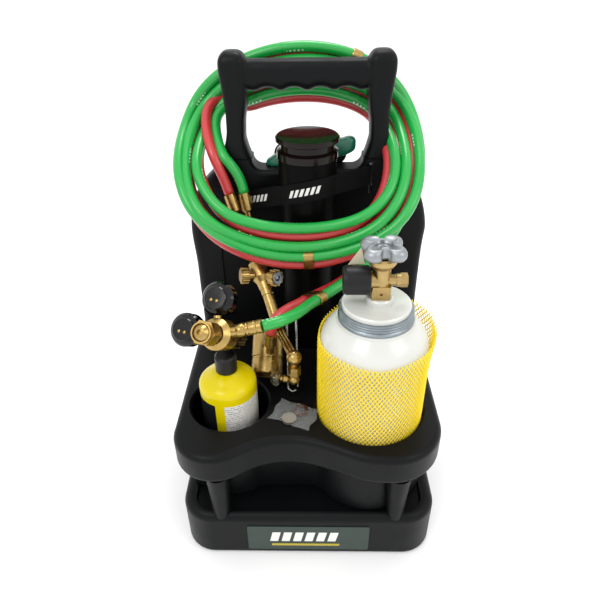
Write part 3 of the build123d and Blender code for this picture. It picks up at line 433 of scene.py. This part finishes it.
def turned(profile: list, origin: tuple, direction: tuple, sides: int = 48) -> tuple:
    """A turned piece: each (radius, height) pair, in mm, is carried once round the axis.

    Args:
        profile: Pairs from one pole to the other.
        origin: Where height zero lies, in mm.
        direction: The axis.
        sides: Points in each ring.

    Returns:
        Points in metres, and faces.
    """
    rows = np.array(profile, float)
    axis = Vector(direction).normalized()
    across = axis.orthogonal().normalized()
    other = axis.cross(across)
    a = np.linspace(0, 2 * math.pi, sides, endpoint=False)
    ring = np.cos(a)[:, None] * np.array(across) + np.sin(a)[:, None] * np.array(other)
    points = np.array(origin) + rows[:, 0, None, None] * ring[None] + rows[:, 1, None, None] * np.array(axis)
    return points.reshape(-1, 3) * MM, rod_faces(len(rows), sides)


def soft_power(value: np.ndarray, power: float) -> np.ndarray:
    """Raise the size of each value to a power and keep its sign."""
    return np.sign(value) * np.abs(value) ** power


# ---------------------------------------------------------------- hoses
@dataclass
class TwinHose:
    """Green and red hose side by side: up from the regulators, round the handle, down to the torch."""

    diameter: float = 0.014
    first_angle: float = 108.0
    last_angle: float = 1080.0 + 222.0
    points_a_turn: int = 18
    shift_mm: float = -7.0
    green_lead: list = field(default_factory=lambda: [
        (-52.9, -78.9, 338.6), (-36, -74, 340), (-22, -62, 338.5), (-9, -44, 335), (2, -24, 332),
        (16, -6, 330), (32, 10, 331), (50, 25, 336), (74, 40, 349), (98, 57, 366), (121, 76, 390),
        (138, 93, 424), (148, 101, 458), (150, 126, 488)])
    red_lead: list = field(default_factory=lambda: [
        (-48.3, -23.4, 287.3), (-46.8, -26, 304), (-33, -24, 320), (-10, -5, 321.5), (13, 17.5, 321),
        (33, 35, 321), (54, 49, 327), (77, 63, 345), (99, 78, 368), (118, 95, 396), (127, 104, 427),
        (134, 112, 458), (140, 138, 484)])
    green_end: list = field(default_factory=lambda: [
        (-112, 168, 530), (-125.6, 156, 516.5), (-122.5, 136, 496), (-113, 111, 480), (-101, 107, 467),
        (-89.5, 105, 448), (-86, 100, 431)])
    red_end: list = field(default_factory=lambda: [
        (-118, 181, 541), (-136, 163, 530), (-137, 140, 506), (-127, 113, 484), (-118, 106, 463),
        (-111, 104.5, 445), (-106, 100, 429)])

    def turns(self, beside: float) -> np.ndarray:
        """Points of the coil.

        Each turn is an oval: x = A sin f, z = zc - H cos f, with A and H shrinking turn by turn; its depth y
        follows height, in front of the panel low down and behind the grip high up.

        Args:
            beside: Distance in mm from the green line, towards the red side.

        Returns:
            Points in mm.
        """
        count = int((self.last_angle - self.first_angle) / 360 * self.points_a_turn)
        angle = np.linspace(self.first_angle, self.last_angle, count)
        turn = angle / 360
        wide = np.interp(turn, [0.3, 0.75, 1.25, 1.75, 2.25, 2.75, 3.25, 3.7],
                         [158, 164, 154, 156, 138, 143, 124, 122])
        low = np.interp(turn, [0, 1, 2, 3], [367, 367.5, 381, 405])
        high = np.interp(turn, [0.5, 1.5, 2.5, 3.5], [604, 588, 566, 549])
        f = np.radians(angle)
        wander = 2.0 * np.sin(1.7 * turn * 2 * math.pi + 0.6)
        x = (wide + wander) * np.sin(f) + self.shift_mm
        z = (low + high) / 2 - (high - low) / 2 * np.cos(f)
        y = np.interp(z, [350, 425, 455, 486, 504, 515, 620], [36, 40, 72, 102, 162, 174, 178])
        front = np.clip(np.cos(f), 0, 1)
        y = y + np.interp(turn, [1, 2, 3], [-5, -3.5, 3]) * front
        down = np.where(np.cos(f) > 0, np.interp(turn, [1, 2, 3], [0.95, 0.64, 0.95]), 0.8)
        steep = np.abs(np.cos(f))
        deep = np.sqrt(1 - down**2) * steep + 0.75 * (1 - steep)
        away = np.stack([-0.45 * np.clip(np.sin(f), 0, 1), deep, -down * steep], -1)
        away /= np.linalg.norm(away, axis=1, keepdims=True)
        return np.stack([x, y, z], -1) + beside * away

    def line(self, name: str, lead: list, end: list, beside: float) -> np.ndarray:
        """The hose's own centre line, read from one open spline.

        Args:
            name: Name of the spline.
            lead: Listed points from the regulator, in mm.
            end: Listed points to the torch, in mm.
            beside: Distance of the coil's turns from the green line, in mm.

        Returns:
            Points in metres.
        """
        controls = np.concatenate([np.array(lead, float), self.turns(beside), np.array(end, float)]) * MM
        curve = bpy.data.curves.new(name, "CURVE")
        curve.dimensions = "3D"
        spline = curve.splines.new("NURBS")
        spline.points.add(len(controls) - 1)
        spline.points.foreach_set("co", np.column_stack([controls, np.ones(len(controls))]).ravel())
        spline.order_u = 3
        spline.use_endpoint_u = True
        curve.resolution_u = 6
        holder = add_object(name, curve)
        bpy.context.view_layer.update()
        drawn = bpy.data.meshes.new_from_object(holder)
        out = np.empty(len(drawn.vertices) * 3, np.float32)
        drawn.vertices.foreach_get("co", out)
        bpy.data.objects.remove(holder)
        return out.reshape(-1, 3).astype(float)

    def clip(self, name: str, green: np.ndarray, red: np.ndarray, near: tuple) -> bpy.types.Object:
        """A brass band bent round both hoses: an oval loop of constant gap, carried along the hose.

        Args:
            name: The piece's name.
            green: The green hose's line.
            red: The red hose's line.
            near: A point in mm; the band sits where the green hose passes it.

        Returns:
            The band.
        """
        at = int(np.argmin(np.linalg.norm(green - np.array(near) * MM, axis=1)))
        tangent = green[at + 1] - green[at - 1]
        tangent /= np.linalg.norm(tangent)
        gap = red - green[at]
        flat = np.linalg.norm(gap - (gap @ tangent)[:, None] * tangent, axis=1) + 4 * np.abs(gap @ tangent)
        other = red[int(np.argmin(flat))]
        across = other - green[at]
        across -= tangent * (across @ tangent)
        span = np.linalg.norm(across)
        across /= span
        up = np.cross(tangent, across)
        a = np.linspace(0, 2 * math.pi, 48, endpoint=False)
        rows = []
        for along, grow in ((-6.2, 0.5), (-6.5, 1.0), (-5.6, 1.3), (5.6, 1.3), (6.5, 1.0), (6.2, 0.5)):
            reach = self.diameter / 2 + grow * MM
            centre = np.where(np.cos(a) > 0, span, 0.0)[:, None] * across
            loop = centre + reach * (np.cos(a)[:, None] * across + np.sin(a)[:, None] * up)
            rows.append(green[at] + loop + tangent * along * MM)
        points = np.array(rows)
        faces = grid_faces(len(rows), len(a), True, True).tolist()
        return make_piece(name, points, faces, "stand", BRASS, smooth=False)

    def build(self) -> None:
        green = self.line("green_line", self.green_lead, self.green_end, 0.0)
        red = self.line("red_line", self.red_lead, self.red_end, 14.2)
        bands = [self.clip("band_front", green, red, (-3, 32, 367.5)),
                 self.clip("band_lead", green, red, (16, -6, 330)),
                 self.clip("band_top", green, red, (66, 178, 585))]
        plans = (("green_hose", green, GREEN, "hose_green",
                  ("hose_coil", "oxygen_hose_lead", "torch_lead_green", "hose_clips"), bands),
                 ("red_hose", red, RED, "hose_red", ("fuel_hose_lead", "torch_lead_red"), []))
        for name, line, finish, slot, nodes, extra in plans:
            points, faces, uv = sweep(line, np.full(len(line), self.diameter / 2), 16, (0.0, -1.0, 0.3))
            hose = make_piece(name, points, faces, "stand", finish, uv, closed=False)
            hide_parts(*nodes)


# ---------------------------------------------------------------- net round the oxygen cylinder
@dataclass
class CylinderNet:
    """Diamond netting: two families of thin helical strands that cross, loose at the rim."""

    x: float = 81.0
    y: float = -63.0
    radius: float = 68.3
    low: float = 150.0
    rim: float = 314.0
    strands: int = 80
    lean: float = 9.6
    thick: float = 0.74

    def family(self, hand: float) -> tuple:
        """Strands of one hand.

        The angle is start + hand * lean * height; the radius opens and the rim rises towards the back right.

        Args:
            hand: 1 for strands that lean one way, -1 for the other.

        Returns:
            Points and faces of every strand, each a closed four-sided rod.
        """
        begin = np.linspace(0, 2 * math.pi, self.strands, endpoint=False)[:, None]
        t = np.linspace(0, 1, 34)[None, :]
        rough = begin + hand * self.lean * 0.156 * t
        back = np.clip(np.sin(rough), 0, 1)
        right = np.clip(np.cos(rough - 0.35), 0, 1) ** 3
        top = self.rim + 16 * back**2 + 12 * right + 1.5 * np.sin(5 * rough)
        z = self.low + (top - self.low) * t
        angle = begin + hand * self.lean * MM * (z - self.low)
        loose = np.clip((z - 262) / 50, 0, 1)
        drop = np.clip((z - 300) / 38, 0, 0.97)
        hug = 19.6 * (1 - np.sqrt(1 - drop**2)) * (1 - np.clip(np.cos(angle - 0.35) + 0.25, 0, 1))
        r = self.radius - hug + loose**1.5 * (0.4 + 5.5 * right + 0.5 * np.sin(3 * angle + 1)) + 0.25 * hand
        centre = np.stack([self.x + r * np.cos(angle), self.y + r * np.sin(angle), z], -1)
        out = np.stack([np.cos(angle), np.sin(angle), np.zeros_like(angle)], -1)
        run = np.gradient(centre, axis=1)
        run /= np.linalg.norm(run, axis=-1, keepdims=True)
        side = np.cross(run, out)
        corners = np.stack([out, side, -out, -side], 2) * self.thick
        points = (centre[:, :, None] + corners) * MM
        count = t.shape[1]
        quads = grid_faces(count, 4, False, True)
        caps = np.array([[3, 2, 1, 0], [(count - 1) * 4 + k for k in range(4)]])
        one = np.concatenate([quads, caps])
        faces = (one[None] + (np.arange(self.strands) * count * 4)[:, None, None]).reshape(-1, 4)
        return points.reshape(-1, 3), faces

    def build(self) -> None:
        """Join both families into one piece that stands for the CAD sleeve."""
        first, faces_a = self.family(1.0)
        second, faces_b = self.family(-1.0)
        faces = np.concatenate([faces_a, faces_b + len(first)]).tolist()
        points = np.concatenate([first, second])
        net = make_piece("diamond_net", points, faces, "oxygen_bottle", NET)
        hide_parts("cylinder_net")


# ---------------------------------------------------------------- stand trim
@dataclass
class TubeStrap:
    """A webbing strap round the rod tube, through two slots and across the panel's back."""

    tube_y: float = 93.0
    tube_radius: float = 39.2
    slot_x: float = 85.6
    front_y: float = 114.6
    back_y: float = 156.9
    width: float = 27.0
    thick: float = 1.5

    def outline(self) -> np.ndarray:
        """Plan of the loop: an arc round the tube, straight runs to the slots and across the back."""
        turn = np.radians(np.linspace(205, 335, 28))
        arc = np.stack([self.tube_radius * np.cos(turn), self.tube_y + self.tube_radius * np.sin(turn)], -1)
        left = np.linspace((-self.slot_x, self.front_y), arc[0], 12, endpoint=False)
        right = np.linspace(arc[-1], (self.slot_x, self.front_y), 12)[1:]
        side = np.linspace((self.slot_x, self.front_y + 4), (self.slot_x, self.back_y), 6)
        back = np.linspace((self.slot_x - 3, self.back_y), (-self.slot_x + 3, self.back_y), 24)
        home = np.linspace((-self.slot_x, self.back_y), (-self.slot_x, self.front_y + 4), 6)
        return np.concatenate([left, arc, right, side, back, home])

    def build(self) -> None:
        """Carry a flat rectangle round the loop, leaning with the slots."""
        plan = self.outline()
        heading = np.roll(plan, -1, axis=0) - np.roll(plan, 1, axis=0)
        heading /= np.linalg.norm(heading, axis=1, keepdims=True)
        out = np.stack([heading[:, 1], -heading[:, 0]], -1)
        mid = 431 + 0.205 * plan[:, 0] - 0.309 * (plan[:, 1] - 119)
        h, w = self.thick / 2, self.width / 2
        ring = ((-h, -w), (h, -w), (h, -w / 3), (h, w / 3), (h, w), (-h, w), (-h, w / 3), (-h, -w / 3))
        points = np.stack([np.column_stack([plan + o * out, mid + up]) for o, up in ring], 1)
        faces = grid_faces(len(plan), len(ring), True, True)
        run = np.concatenate([[0], np.cumsum(np.linalg.norm(np.diff(plan, axis=0), axis=1))])
        run = np.append(run, run[-1] + 4)
        i, j = np.meshgrid(np.arange(len(plan)), np.arange(len(ring)), indexing="ij")
        height = np.array([up for _, up in ring] + [ring[0][1]])
        along = run[np.stack([i, i, i + 1, i + 1], -1)]
        uv = np.stack([along, height[np.stack([j, j + 1, j + 1, j], -1)]], -1)
        strap = make_piece("tube_webbing", points * MM, faces.tolist(), "stand", WEB,
                           uv.reshape(-1, 2) * MM, smooth=False)
        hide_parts("tube_strap")


@dataclass
class LabelMarks:
    """Plain slanted blocks and a bar on the label plate, in place of lettering."""

    face_y: float = -152.9
    raise_mm: float = 0.25

    def prism(self, name: str, corners: list, finish: Finish) -> None:
        """A thin raised shape with the given front outline, (x, z) pairs in mm."""
        flat = np.array(corners, float)
        front = np.column_stack([flat[:, 0], np.full(len(flat), self.face_y - self.raise_mm), flat[:, 1]])
        back = front + (0, self.raise_mm, 0)
        count = len(flat)
        sides = [[i, (i + 1) % count, count + (i + 1) % count, count + i] for i in range(count)]
        ends = [list(range(count)), list(range(count, 2 * count))[::-1]]
        make_piece(name, np.concatenate([front, back]) * MM, ends + sides, "stand", finish,
                   smooth=False)

    def build(self) -> None:
        """Six slanted blocks in a row, a thin bar under them."""
        for i in range(6):
            left = -52 + i * 15.6
            block = [(left, 30), (left + 11, 30), (left + 15, 49), (left + 4, 49)]
            self.prism(f"label_block_{i}", block, WHITE_INK)
        self.prism("label_bar", [(-50, 20), (42, 20), (43, 24.5), (-49, 24.5)], YELLOW_INK)


@dataclass
class Goggles:
    """Welding goggles on the sill behind the tube: a rounded shell with a scalloped brow and two lenses."""

    centre: tuple[float, float, float] = (4.0, 145.5, 468.5)
    half: tuple[float, float, float] = (62.0, 10.6, 12.0)
    tilt: float = 0.24
    sill: float = 455.4
    scallops: int = 5

    def shell(self) -> tuple:
        """A rounded box on a grid: each axis is a soft power of sine and cosine; the brow is scalloped."""
        u = np.linspace(0, 2 * math.pi, 96, endpoint=False)[None, :]
        v = np.linspace(-math.pi / 2, math.pi / 2, 40)[:, None]
        x = soft_power(np.cos(v), 0.35) * soft_power(np.cos(u), 0.35)
        z = soft_power(np.cos(v), 0.35) * soft_power(np.sin(u), 0.5)
        y = np.broadcast_to(soft_power(np.sin(v), 0.7), x.shape)
        bump = 1 + 0.20 * np.clip(z, 0, 1) * np.abs(np.sin(self.scallops * x * math.pi / 2 + 0.8))
        nose = 1 - 0.35 * np.exp(-(x / 0.16) ** 2) * (z < 0)
        lift = self.tilt * x * self.half[0]
        height = z * self.half[2] * bump * nose + lift
        points = np.stack([x * self.half[0], y * self.half[1], height], -1) + self.centre
        points[..., 2] = np.maximum(points[..., 2], self.sill)
        return points, grid_faces(*points.shape[:2], False, True).tolist()

    def build(self) -> None:
        """Make the shell and the two lenses."""
        points, faces = self.shell()
        shell = make_piece("goggle_shell", points * MM, faces, "stand", TEAL)
        merged = bmesh.new()
        merged.from_mesh(shell.data)
        bmesh.ops.remove_doubles(merged, verts=merged.verts, dist=1e-5)
        bmesh.ops.recalc_face_normals(merged, faces=merged.faces)
        merged.to_mesh(shell.data)
        merged.free()
        shell.data.polygons.foreach_set("use_smooth", np.full(len(shell.data.polygons), True))
        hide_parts("goggles")
        for side in (-1, 1):
            at = (self.centre[0] + side * 34, self.centre[1] + 9.0, self.centre[2] - 2)
            profile = [(0.01, 0), (15, 0), (16.5, 0.8), (17, 2.2), (14.5, 2.6), (14, 1.6), (0.01, 2.0)]
            lens_points, lens_faces = turned(profile, at, (0, 1, 0))
            make_piece(f"goggle_lens_{'left' if side < 0 else 'right'}", lens_points, lens_faces, "stand",
                       LENS)


@dataclass
class SparesBag:
    """A small clear bag with a disc and washers in it: two crumpled films that meet at a flat hem."""

    centre: tuple[float, float, float] = (-17.0, -84.0, 199.4)
    half: tuple[float, float] = (28.0, 19.0)
    height: float = 12.5
    turn: float = -0.42

    def build(self) -> None:
        """Raise each film as (1 - u^4)(1 - v^4) times the height, with folds from sines of 11 headings."""
        count = 72
        u, v = np.meshgrid(np.linspace(-1, 1, count), np.linspace(-1, 1, count), indexing="ij")
        swell = (1 - u**4) * (1 - v**4)
        fold = np.zeros_like(u)
        for i in range(11):
            heading = 2.39996 * i
            pitch = 3.5 + 1.9 * i
            wave = np.abs(np.sin(pitch * (u * math.cos(heading) + v * math.sin(heading)) + 1.3 * i))
            fold += (0.5 - wave) / (1.4 + 0.5 * i)
        top = self.height * (0.58 * swell + 0.32 * fold * np.sqrt(np.clip(swell, 0, 1)))
        hem = 1.0 + 0.9 * np.sin(6 * u + 2 * v)
        upper = np.clip(top, 0.15, self.height) + hem * (1 - swell) * 0.8 + 0.7
        lower = np.full_like(u, 0.25) + hem * (1 - swell) * 0.8
        ragged = 1 + 0.05 * np.sin(5 * v + 1) * np.abs(u) + 0.04 * np.sin(4 * u) * np.abs(v)
        x, y = u * self.half[0] * ragged, v * self.half[1] * ragged
        c, s = math.cos(self.turn), math.sin(self.turn)
        wx, wy = c * x - s * y + self.centre[0], s * x + c * y + self.centre[1]
        above = np.stack([wx, wy, self.centre[2] + upper], -1).reshape(-1, 3)
        below = np.stack([wx, wy, self.centre[2] + lower], -1).reshape(-1, 3)
        quads = grid_faces(count, count, False, False)
        n = count * count
        edge = np.concatenate([np.arange(count), np.arange(1, count) * count + count - 1,
                               n - 2 - np.arange(count - 1), (np.arange(count - 2, 0, -1)) * count])
        after = np.roll(edge, -1)
        rim = np.stack([edge, edge + n, after + n, after], -1)
        faces = np.concatenate([quads, quads[:, ::-1] + n, rim])
        bag = make_piece("spares_film", np.concatenate([above, below]) * MM, faces.tolist(), "stand",
                         FILM)
        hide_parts("spares_bag")


@dataclass
class Handle:
    """Carrying handle: two rounded posts and a grip with finger grooves, blended like one blow moulding."""

    middle_y: float = 138.5
    half_y: float = 19.4
    top: float = 604.6
    foot: float = 468.0
    groove: float = 34.0

    def post(self, side: int) -> np.ndarray:
        """A post as stacked rounded squares.

        At each height the inner and outer edges are set by smooth curves; the section is the superellipse
        |x|^4 + |y|^4 = 1, and the top closes like a quarter of an oval.
        """
        t = np.linspace(0, 1, 60)
        z = self.foot + (self.top - self.foot) * np.sin(t * math.pi / 2)
        outer = np.interp(z, [466, 478, 492, 505, 530, 560, 580, 605],
                          [119, 115, 110, 107.5, 107, 110, 112.5, 112.5])
        inner = np.interp(z, [466, 480, 495, 520, 545, 605], [74, 79, 83, 81.5, 77.5, 76.5])
        close = np.sqrt(np.clip(1 - np.clip((z - self.top + 15) / 15.2, 0, 1) ** 2, 0, 1))
        a = np.linspace(0, 2 * math.pi, 48, endpoint=False)
        cx, cy = soft_power(np.cos(a), 0.5), soft_power(np.sin(a), 0.5)
        half = (outer - inner) / 2 * (0.25 + 0.75 * close)
        x = side * (outer + inner)[:, None] / 2 + half[:, None] * cx
        y = self.middle_y + (self.half_y * (0.25 + 0.75 * close))[:, None] * cy
        return np.stack([x, y, np.broadcast_to(z[:, None], x.shape)], -1)

    def grip(self) -> np.ndarray:
        """The grip as rounded sections along x; its underside dips between the fingers as |cos|."""
        x = np.linspace(-92, 92, 150)
        low = 560.0 - 4.5 * np.abs(np.cos(math.pi * x / self.groove)) ** 3
        high = np.full_like(x, 594.5)
        a = np.linspace(0, 2 * math.pi, 48, endpoint=False)
        cy, cz = soft_power(np.cos(a), 0.75), soft_power(np.sin(a), 0.75)
        y = self.middle_y + 15.2 * cy + 0 * x[:, None]
        z = (low + high)[:, None] / 2 + (high - low)[:, None] / 2 * cz
        return np.stack([np.broadcast_to(x[:, None], y.shape), y, z], -1)

    def build(self) -> None:
        """Join the three solids, remesh them into one skin and smooth it."""
        points, faces = [], []
        for rows in (self.post(-1), self.post(1), self.grip()):
            base = sum(len(p) for p in points)
            points.append(rows.reshape(-1, 3))
            faces += rod_faces(*rows.shape[:2], base)
        handle = make_piece("grip_and_posts", np.concatenate(points) * MM, faces, "stand",
                            MOULDED)
        skin = handle.modifiers.new("skin", "REMESH")
        skin.mode = "VOXEL"
        skin.voxel_size = 0.0017
        soften = handle.modifiers.new("soften", "SMOOTH")
        soften.factor = 0.5
        soften.iterations = 10
        bpy.context.view_layer.update()
        shaped = bpy.data.meshes.new_from_object(handle.evaluated_get(bpy.context.evaluated_depsgraph_get()))
        handle.modifiers.clear()
        handle.data = shaped
        shaped.polygons.foreach_set("use_smooth", np.full(len(shaped.polygons), True))
        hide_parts("carrier_handle")


@dataclass
class BrassButtons:
    """Small brass screws on the backs of the gauges, and the plated face on the torch's right knob."""

    gauge_backs: tuple = (184.0, 104.0)
    gauge_reach: float = 43.5
    gauge_depth: float = 9.0
    knob_mm: tuple = (-63.4, 54.0, 329.0)
    knob_reach: float = 30.7

    def build(self) -> None:
        """Place two screws square to each gauge's back, and one disc on the knob."""
        screw = [(0.01, -0.3), (2.0, -0.3), (2.0, 0.5), (1.4, 1.0), (0.01, 1.1)]
        disc = [(0.01, 0), (9.4, 0), (9.4, 0.5), (8.6, 0.9), (8.2, 0.5), (2.4, 0.5), (2.2, 1.0), (0.01, 1.1)]
        axis = Vector((0.27, 0.74, -0.615)).normalized()
        right = axis.cross(Vector((0, 0, 1))).normalized()
        up = right.cross(axis)
        for i, angle in enumerate(self.gauge_backs):
            a = math.radians(angle)
            outward = (right * math.cos(a) + up * math.sin(a)) * self.gauge_reach
            middle = Vector(REGULATOR_MM) + outward - axis * self.gauge_depth
            for j, side in enumerate((-1, 1)):
                at = middle + right * side * 3.8 - up * 3.0
                points, faces = turned(screw, tuple(at), tuple(-axis), 20)
                make_piece(f"gauge_screw_{i}_{j}", points, faces, "stand", BRASS)
        way = Vector((0.74, -0.62, 0.20)).normalized()
        seat = Vector(self.knob_mm) + way * self.knob_reach
        points, faces = turned(disc, tuple(seat), tuple(way))
        make_piece("knob_face", points, faces, "torch_oxygen_valve", ZINC)


@dataclass
class Handwheel:
    """Die-cast valve handwheel: four rounded lobes round a sunk hub."""

    centre: tuple[float, float, float] = (84.0, -63.0, 423.8)
    reach: float = 19.3
    lobe: float = 10.2
    waist: float = 14.0
    start: float = -42.0

    def edge(self, angle: np.ndarray) -> np.ndarray:
        """Outer radius at each angle: the lobe circles' far side, softly joined to the waist circle."""
        off = np.radians((np.degrees(angle) - self.start + 45) % 90 - 45)
        inside = np.clip(self.lobe**2 - (self.reach * np.sin(off)) ** 2, 0, None)
        far = self.reach * np.cos(off) + np.sqrt(inside)
        far = np.where(inside > 0, far, 0.0)
        return (far**10 + self.waist**10) ** 0.1

    def build(self) -> None:
        """Stack rings from the hub's underside, out round the lobes and down into the hub."""
        angle = np.linspace(0, 2 * math.pi, 160, endpoint=False)
        edge = self.edge(angle)
        steps = [(0.55, 0.0, 0.0), (0.80, 0.0, 0.3), (0.92, 0.0, 1.8), (0.985, 0.0, 4.4), (1.0, 0.0, 7.4),
                 (0.985, 0.0, 10.2), (0.93, 0.0, 12.8), (0.84, 0.0, 14.6), (0.72, 0.5, 15.3),
                 (0.60, 1.0, 14.6), (0.0, 9.6, 12.6), (0.0, 8.9, 9.6), (0.0, 8.4, 7.4), (0.0, 6.0, 7.0),
                 (0.0, 4.6, 7.0), (0.0, 4.2, 0.6)]
        rows = []
        for share, plus, height in steps:
            radius = share * edge + plus
            x, y = self.centre[0] + radius * np.cos(angle), self.centre[1] + radius * np.sin(angle)
            rows.append(np.stack([x, y, np.full_like(angle, self.centre[2] + height)], -1))
        points = np.array(rows)
        faces = grid_faces(len(rows), len(angle), True, True).tolist()
        wheel = make_piece("cast_handwheel", points * MM, faces, "valve_wheel", ALLOY)
        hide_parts("oxygen_handwheel")


# ---------------------------------------------------------------- small fittings
@dataclass
class CrimpFerrules:
    """Brass ferrule with crimped grooves where the oxygen hose meets its regulator."""

    outer: float = 8.4
    grooves: int = 2
    reach: float = 26.2
    length: float = 32.0
    neck: float = 12.0

    def profile(self) -> list:
        """Radius and height pairs: a round neck, then a sleeve with rounded crimp grooves."""
        neck, length = self.neck, self.length
        rows = [(0.01, 0), (7.6, 0), (8.0, 0.6), (8.0, neck - 3), (5.6, neck - 2), (5.6, neck)]
        t = np.linspace(0, 1, 46)
        dip = 0.6 * np.maximum(0, np.sin(t * math.pi * (2 * self.grooves))) ** 2
        rows += [(self.outer - d - (0.8 if k in (0, 1) else 0), neck + k * (length - neck))
                 for k, d in zip(t.tolist(), dip.tolist())]
        return rows + [(0.01, length)]

    def build(self) -> None:
        """Place it on the outlet of the oxygen regulator."""
        outlet = Vector((0.950, -0.101, 0.295)).normalized()
        start = Vector(REGULATOR_MM) + outlet * self.reach
        points, faces = turned(self.profile(), tuple(start), tuple(outlet))
        piece = make_piece("ferrule_oxygen", points, faces, "stand", BRASS)
        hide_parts("oxygen_hose_fitting")


@dataclass
class HangTag:
    """A folded card tag behind the valve's outlet cap."""

    corners: tuple = ((47, -46, 402), (66, -48, 404), (62, -44, 424))

    def build(self) -> None:
        """A thin triangle of card, 0.4 mm thick."""
        front = np.array(self.corners, float)
        back = front + (0.0, 0.4, 0.0)
        faces = [[0, 1, 2], [5, 4, 3], [0, 3, 4, 1], [1, 4, 5, 2], [2, 5, 3, 0]]
        make_piece("card_tag", np.concatenate([front, back]) * MM, faces, "oxygen_bottle",
                   CARD, smooth=False)


# ---------------------------------------------------------------- CAD pieces carried over
CAD_FINISHES = {
    MOULDED: "carrier_base carrier_waist carrier_shelf shelf_posts carrier_back_panel carrier_handle",
    PLATE: "label_plate",
    TUBE: "rod_tube",
    CAP: "tube_cap",
    WEB: "tube_strap",
    WHITE: "oxygen_cylinder oxygen_top_plate oxygen_neck_boss",
    ZINC: "oxygen_neck_ring oxygen_spindle",
    BRASS_DULL: "oxygen_valve_body oxygen_gland_nut oxygen_safety_plug",
    BLACK_SATIN: "oxygen_outlet_cap fuel_cap",
    BLACK_GLOSS: "regulator_knob gauge_cases",
    NET: "cylinder_net",
    ENAMEL: "fuel_cylinder",
    STEEL: "fuel_valve torch_tip_nut",
    BRASS: "regulator_body regulator_bonnet inlet_nipple inlet_nut oxygen_hose_fitting fuel_regulator_body "
           "fuel_inlet_stem fuel_hose_fitting torch_body torch_knob_oxygen torch_knob_fuel torch_handle "
           "torch_tubes torch_head torch_nipple torch_inlets torch_ferrules hose_clips",
    DIAL: "gauge_dials",
    GLASS: "gauge_lenses",
    POINTER: "needle_high needle_low",
    GREEN: "hose_coil oxygen_hose_lead torch_lead_green",
    RED: "fuel_hose_lead torch_lead_red",
    WIRE: "lighter_bow lighter_arm",
    TEAL: "goggles",
    FILM: "spares_bag",
    DISC: "spare_disc",
    COPPER: "spare_ring",
}


def dress_cad() -> None:
    """Give every CAD node its finish."""
    for finish, names in CAD_FINISHES.items():
        for name in names.split():
            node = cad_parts[name]
            if not node.material_slots:
                node.data.materials.append(None)
            for place in node.material_slots:
                place.material = finish.build()


# ---------------------------------------------------------------- studio
@dataclass
class Studio:
    """Pale floor, soft lights and the camera."""

    eye_mm: tuple[float, float, float] = (2.5, -603.3, 719.4)
    pitch: float = 32.99
    yaw: float = -1.56
    roll: float = -0.95
    lens: float = 33.46

    def camera(self) -> None:
        """Aim: forward = (sin yaw cos pitch, cos yaw cos pitch, -sin pitch), then roll about it."""
        p, w, r = math.radians(self.pitch), math.radians(self.yaw), math.radians(self.roll)
        forward = Vector((math.sin(w) * math.cos(p), math.cos(w) * math.cos(p), -math.sin(p)))
        right = Vector((math.cos(w), -math.sin(w), 0))
        up = right.cross(forward)
        tilted_right = right * math.cos(r) + up * math.sin(r)
        tilted_up = up * math.cos(r) - right * math.sin(r)
        data = bpy.data.cameras.new("camera")
        data.lens = self.lens
        data.sensor_width = 36
        data.clip_start = 0.01
        eye = add_object("camera", data)
        axes = Matrix((tilted_right, tilted_up, -forward)).transposed()
        eye.matrix_world = Matrix.Translation(Vector(self.eye_mm) * MM) @ axes.to_4x4()
        bpy.context.scene.camera = eye

    def light(self, name: str, place: tuple, size: float, power: float) -> None:
        """A square area light aimed at the object's middle."""
        data = bpy.data.lights.new(name, "AREA")
        data.size = size
        data.energy = power
        lamp = add_object(name, data)
        way = Vector((0, 0, 0.3)) - Vector(place)
        aim = way.to_track_quat("-Z", "Y").to_matrix().to_4x4()
        lamp.matrix_world = Matrix.Translation(Vector(place)) @ aim

    def build(self) -> None:
        """Floor, lights, sky and camera."""
        mesh = bpy.data.meshes.new("floor")
        mesh.from_pydata([(-40, -40, 0), (40, -40, 0), (40, 40, 0), (-40, 40, 0)], [], [(0, 1, 2, 3)])
        floor = add_object("floor", mesh)
        mesh.materials.append(FLOOR.build())
        self.light("key", (-0.9, -1.2, 1.9), 1.0, 13)
        self.light("fill", (1.3, -0.8, 1.4), 0.9, 6)
        self.light("top", (0.1, 0.7, 1.9), 0.6, 10)
        world = bpy.data.worlds.new("studio")
        world.use_nodes = True
        world.node_tree.nodes["Background"].inputs["Color"].default_value = (1, 1, 1, 1)
        world.node_tree.nodes["Background"].inputs["Strength"].default_value = 1.12
        bpy.context.scene.world = world
        bpy.context.scene.view_settings.view_transform = "Standard"
        self.camera()


def main() -> None:
    """Build the studio, then each sub-assembly in order."""
    logging.basicConfig(level=logging.INFO)
    Studio().build()
    dress_cad()
    for part in (TwinHose(), CylinderNet(), TubeStrap(), LabelMarks(), Handle(), Goggles(), SparesBag(),
                 CrimpFerrules(), BrassButtons(), Handwheel(), HangTag()):
        part.build()
        LOG.info("%s done", type(part).__name__)


if __name__ == "__main__":
    main()
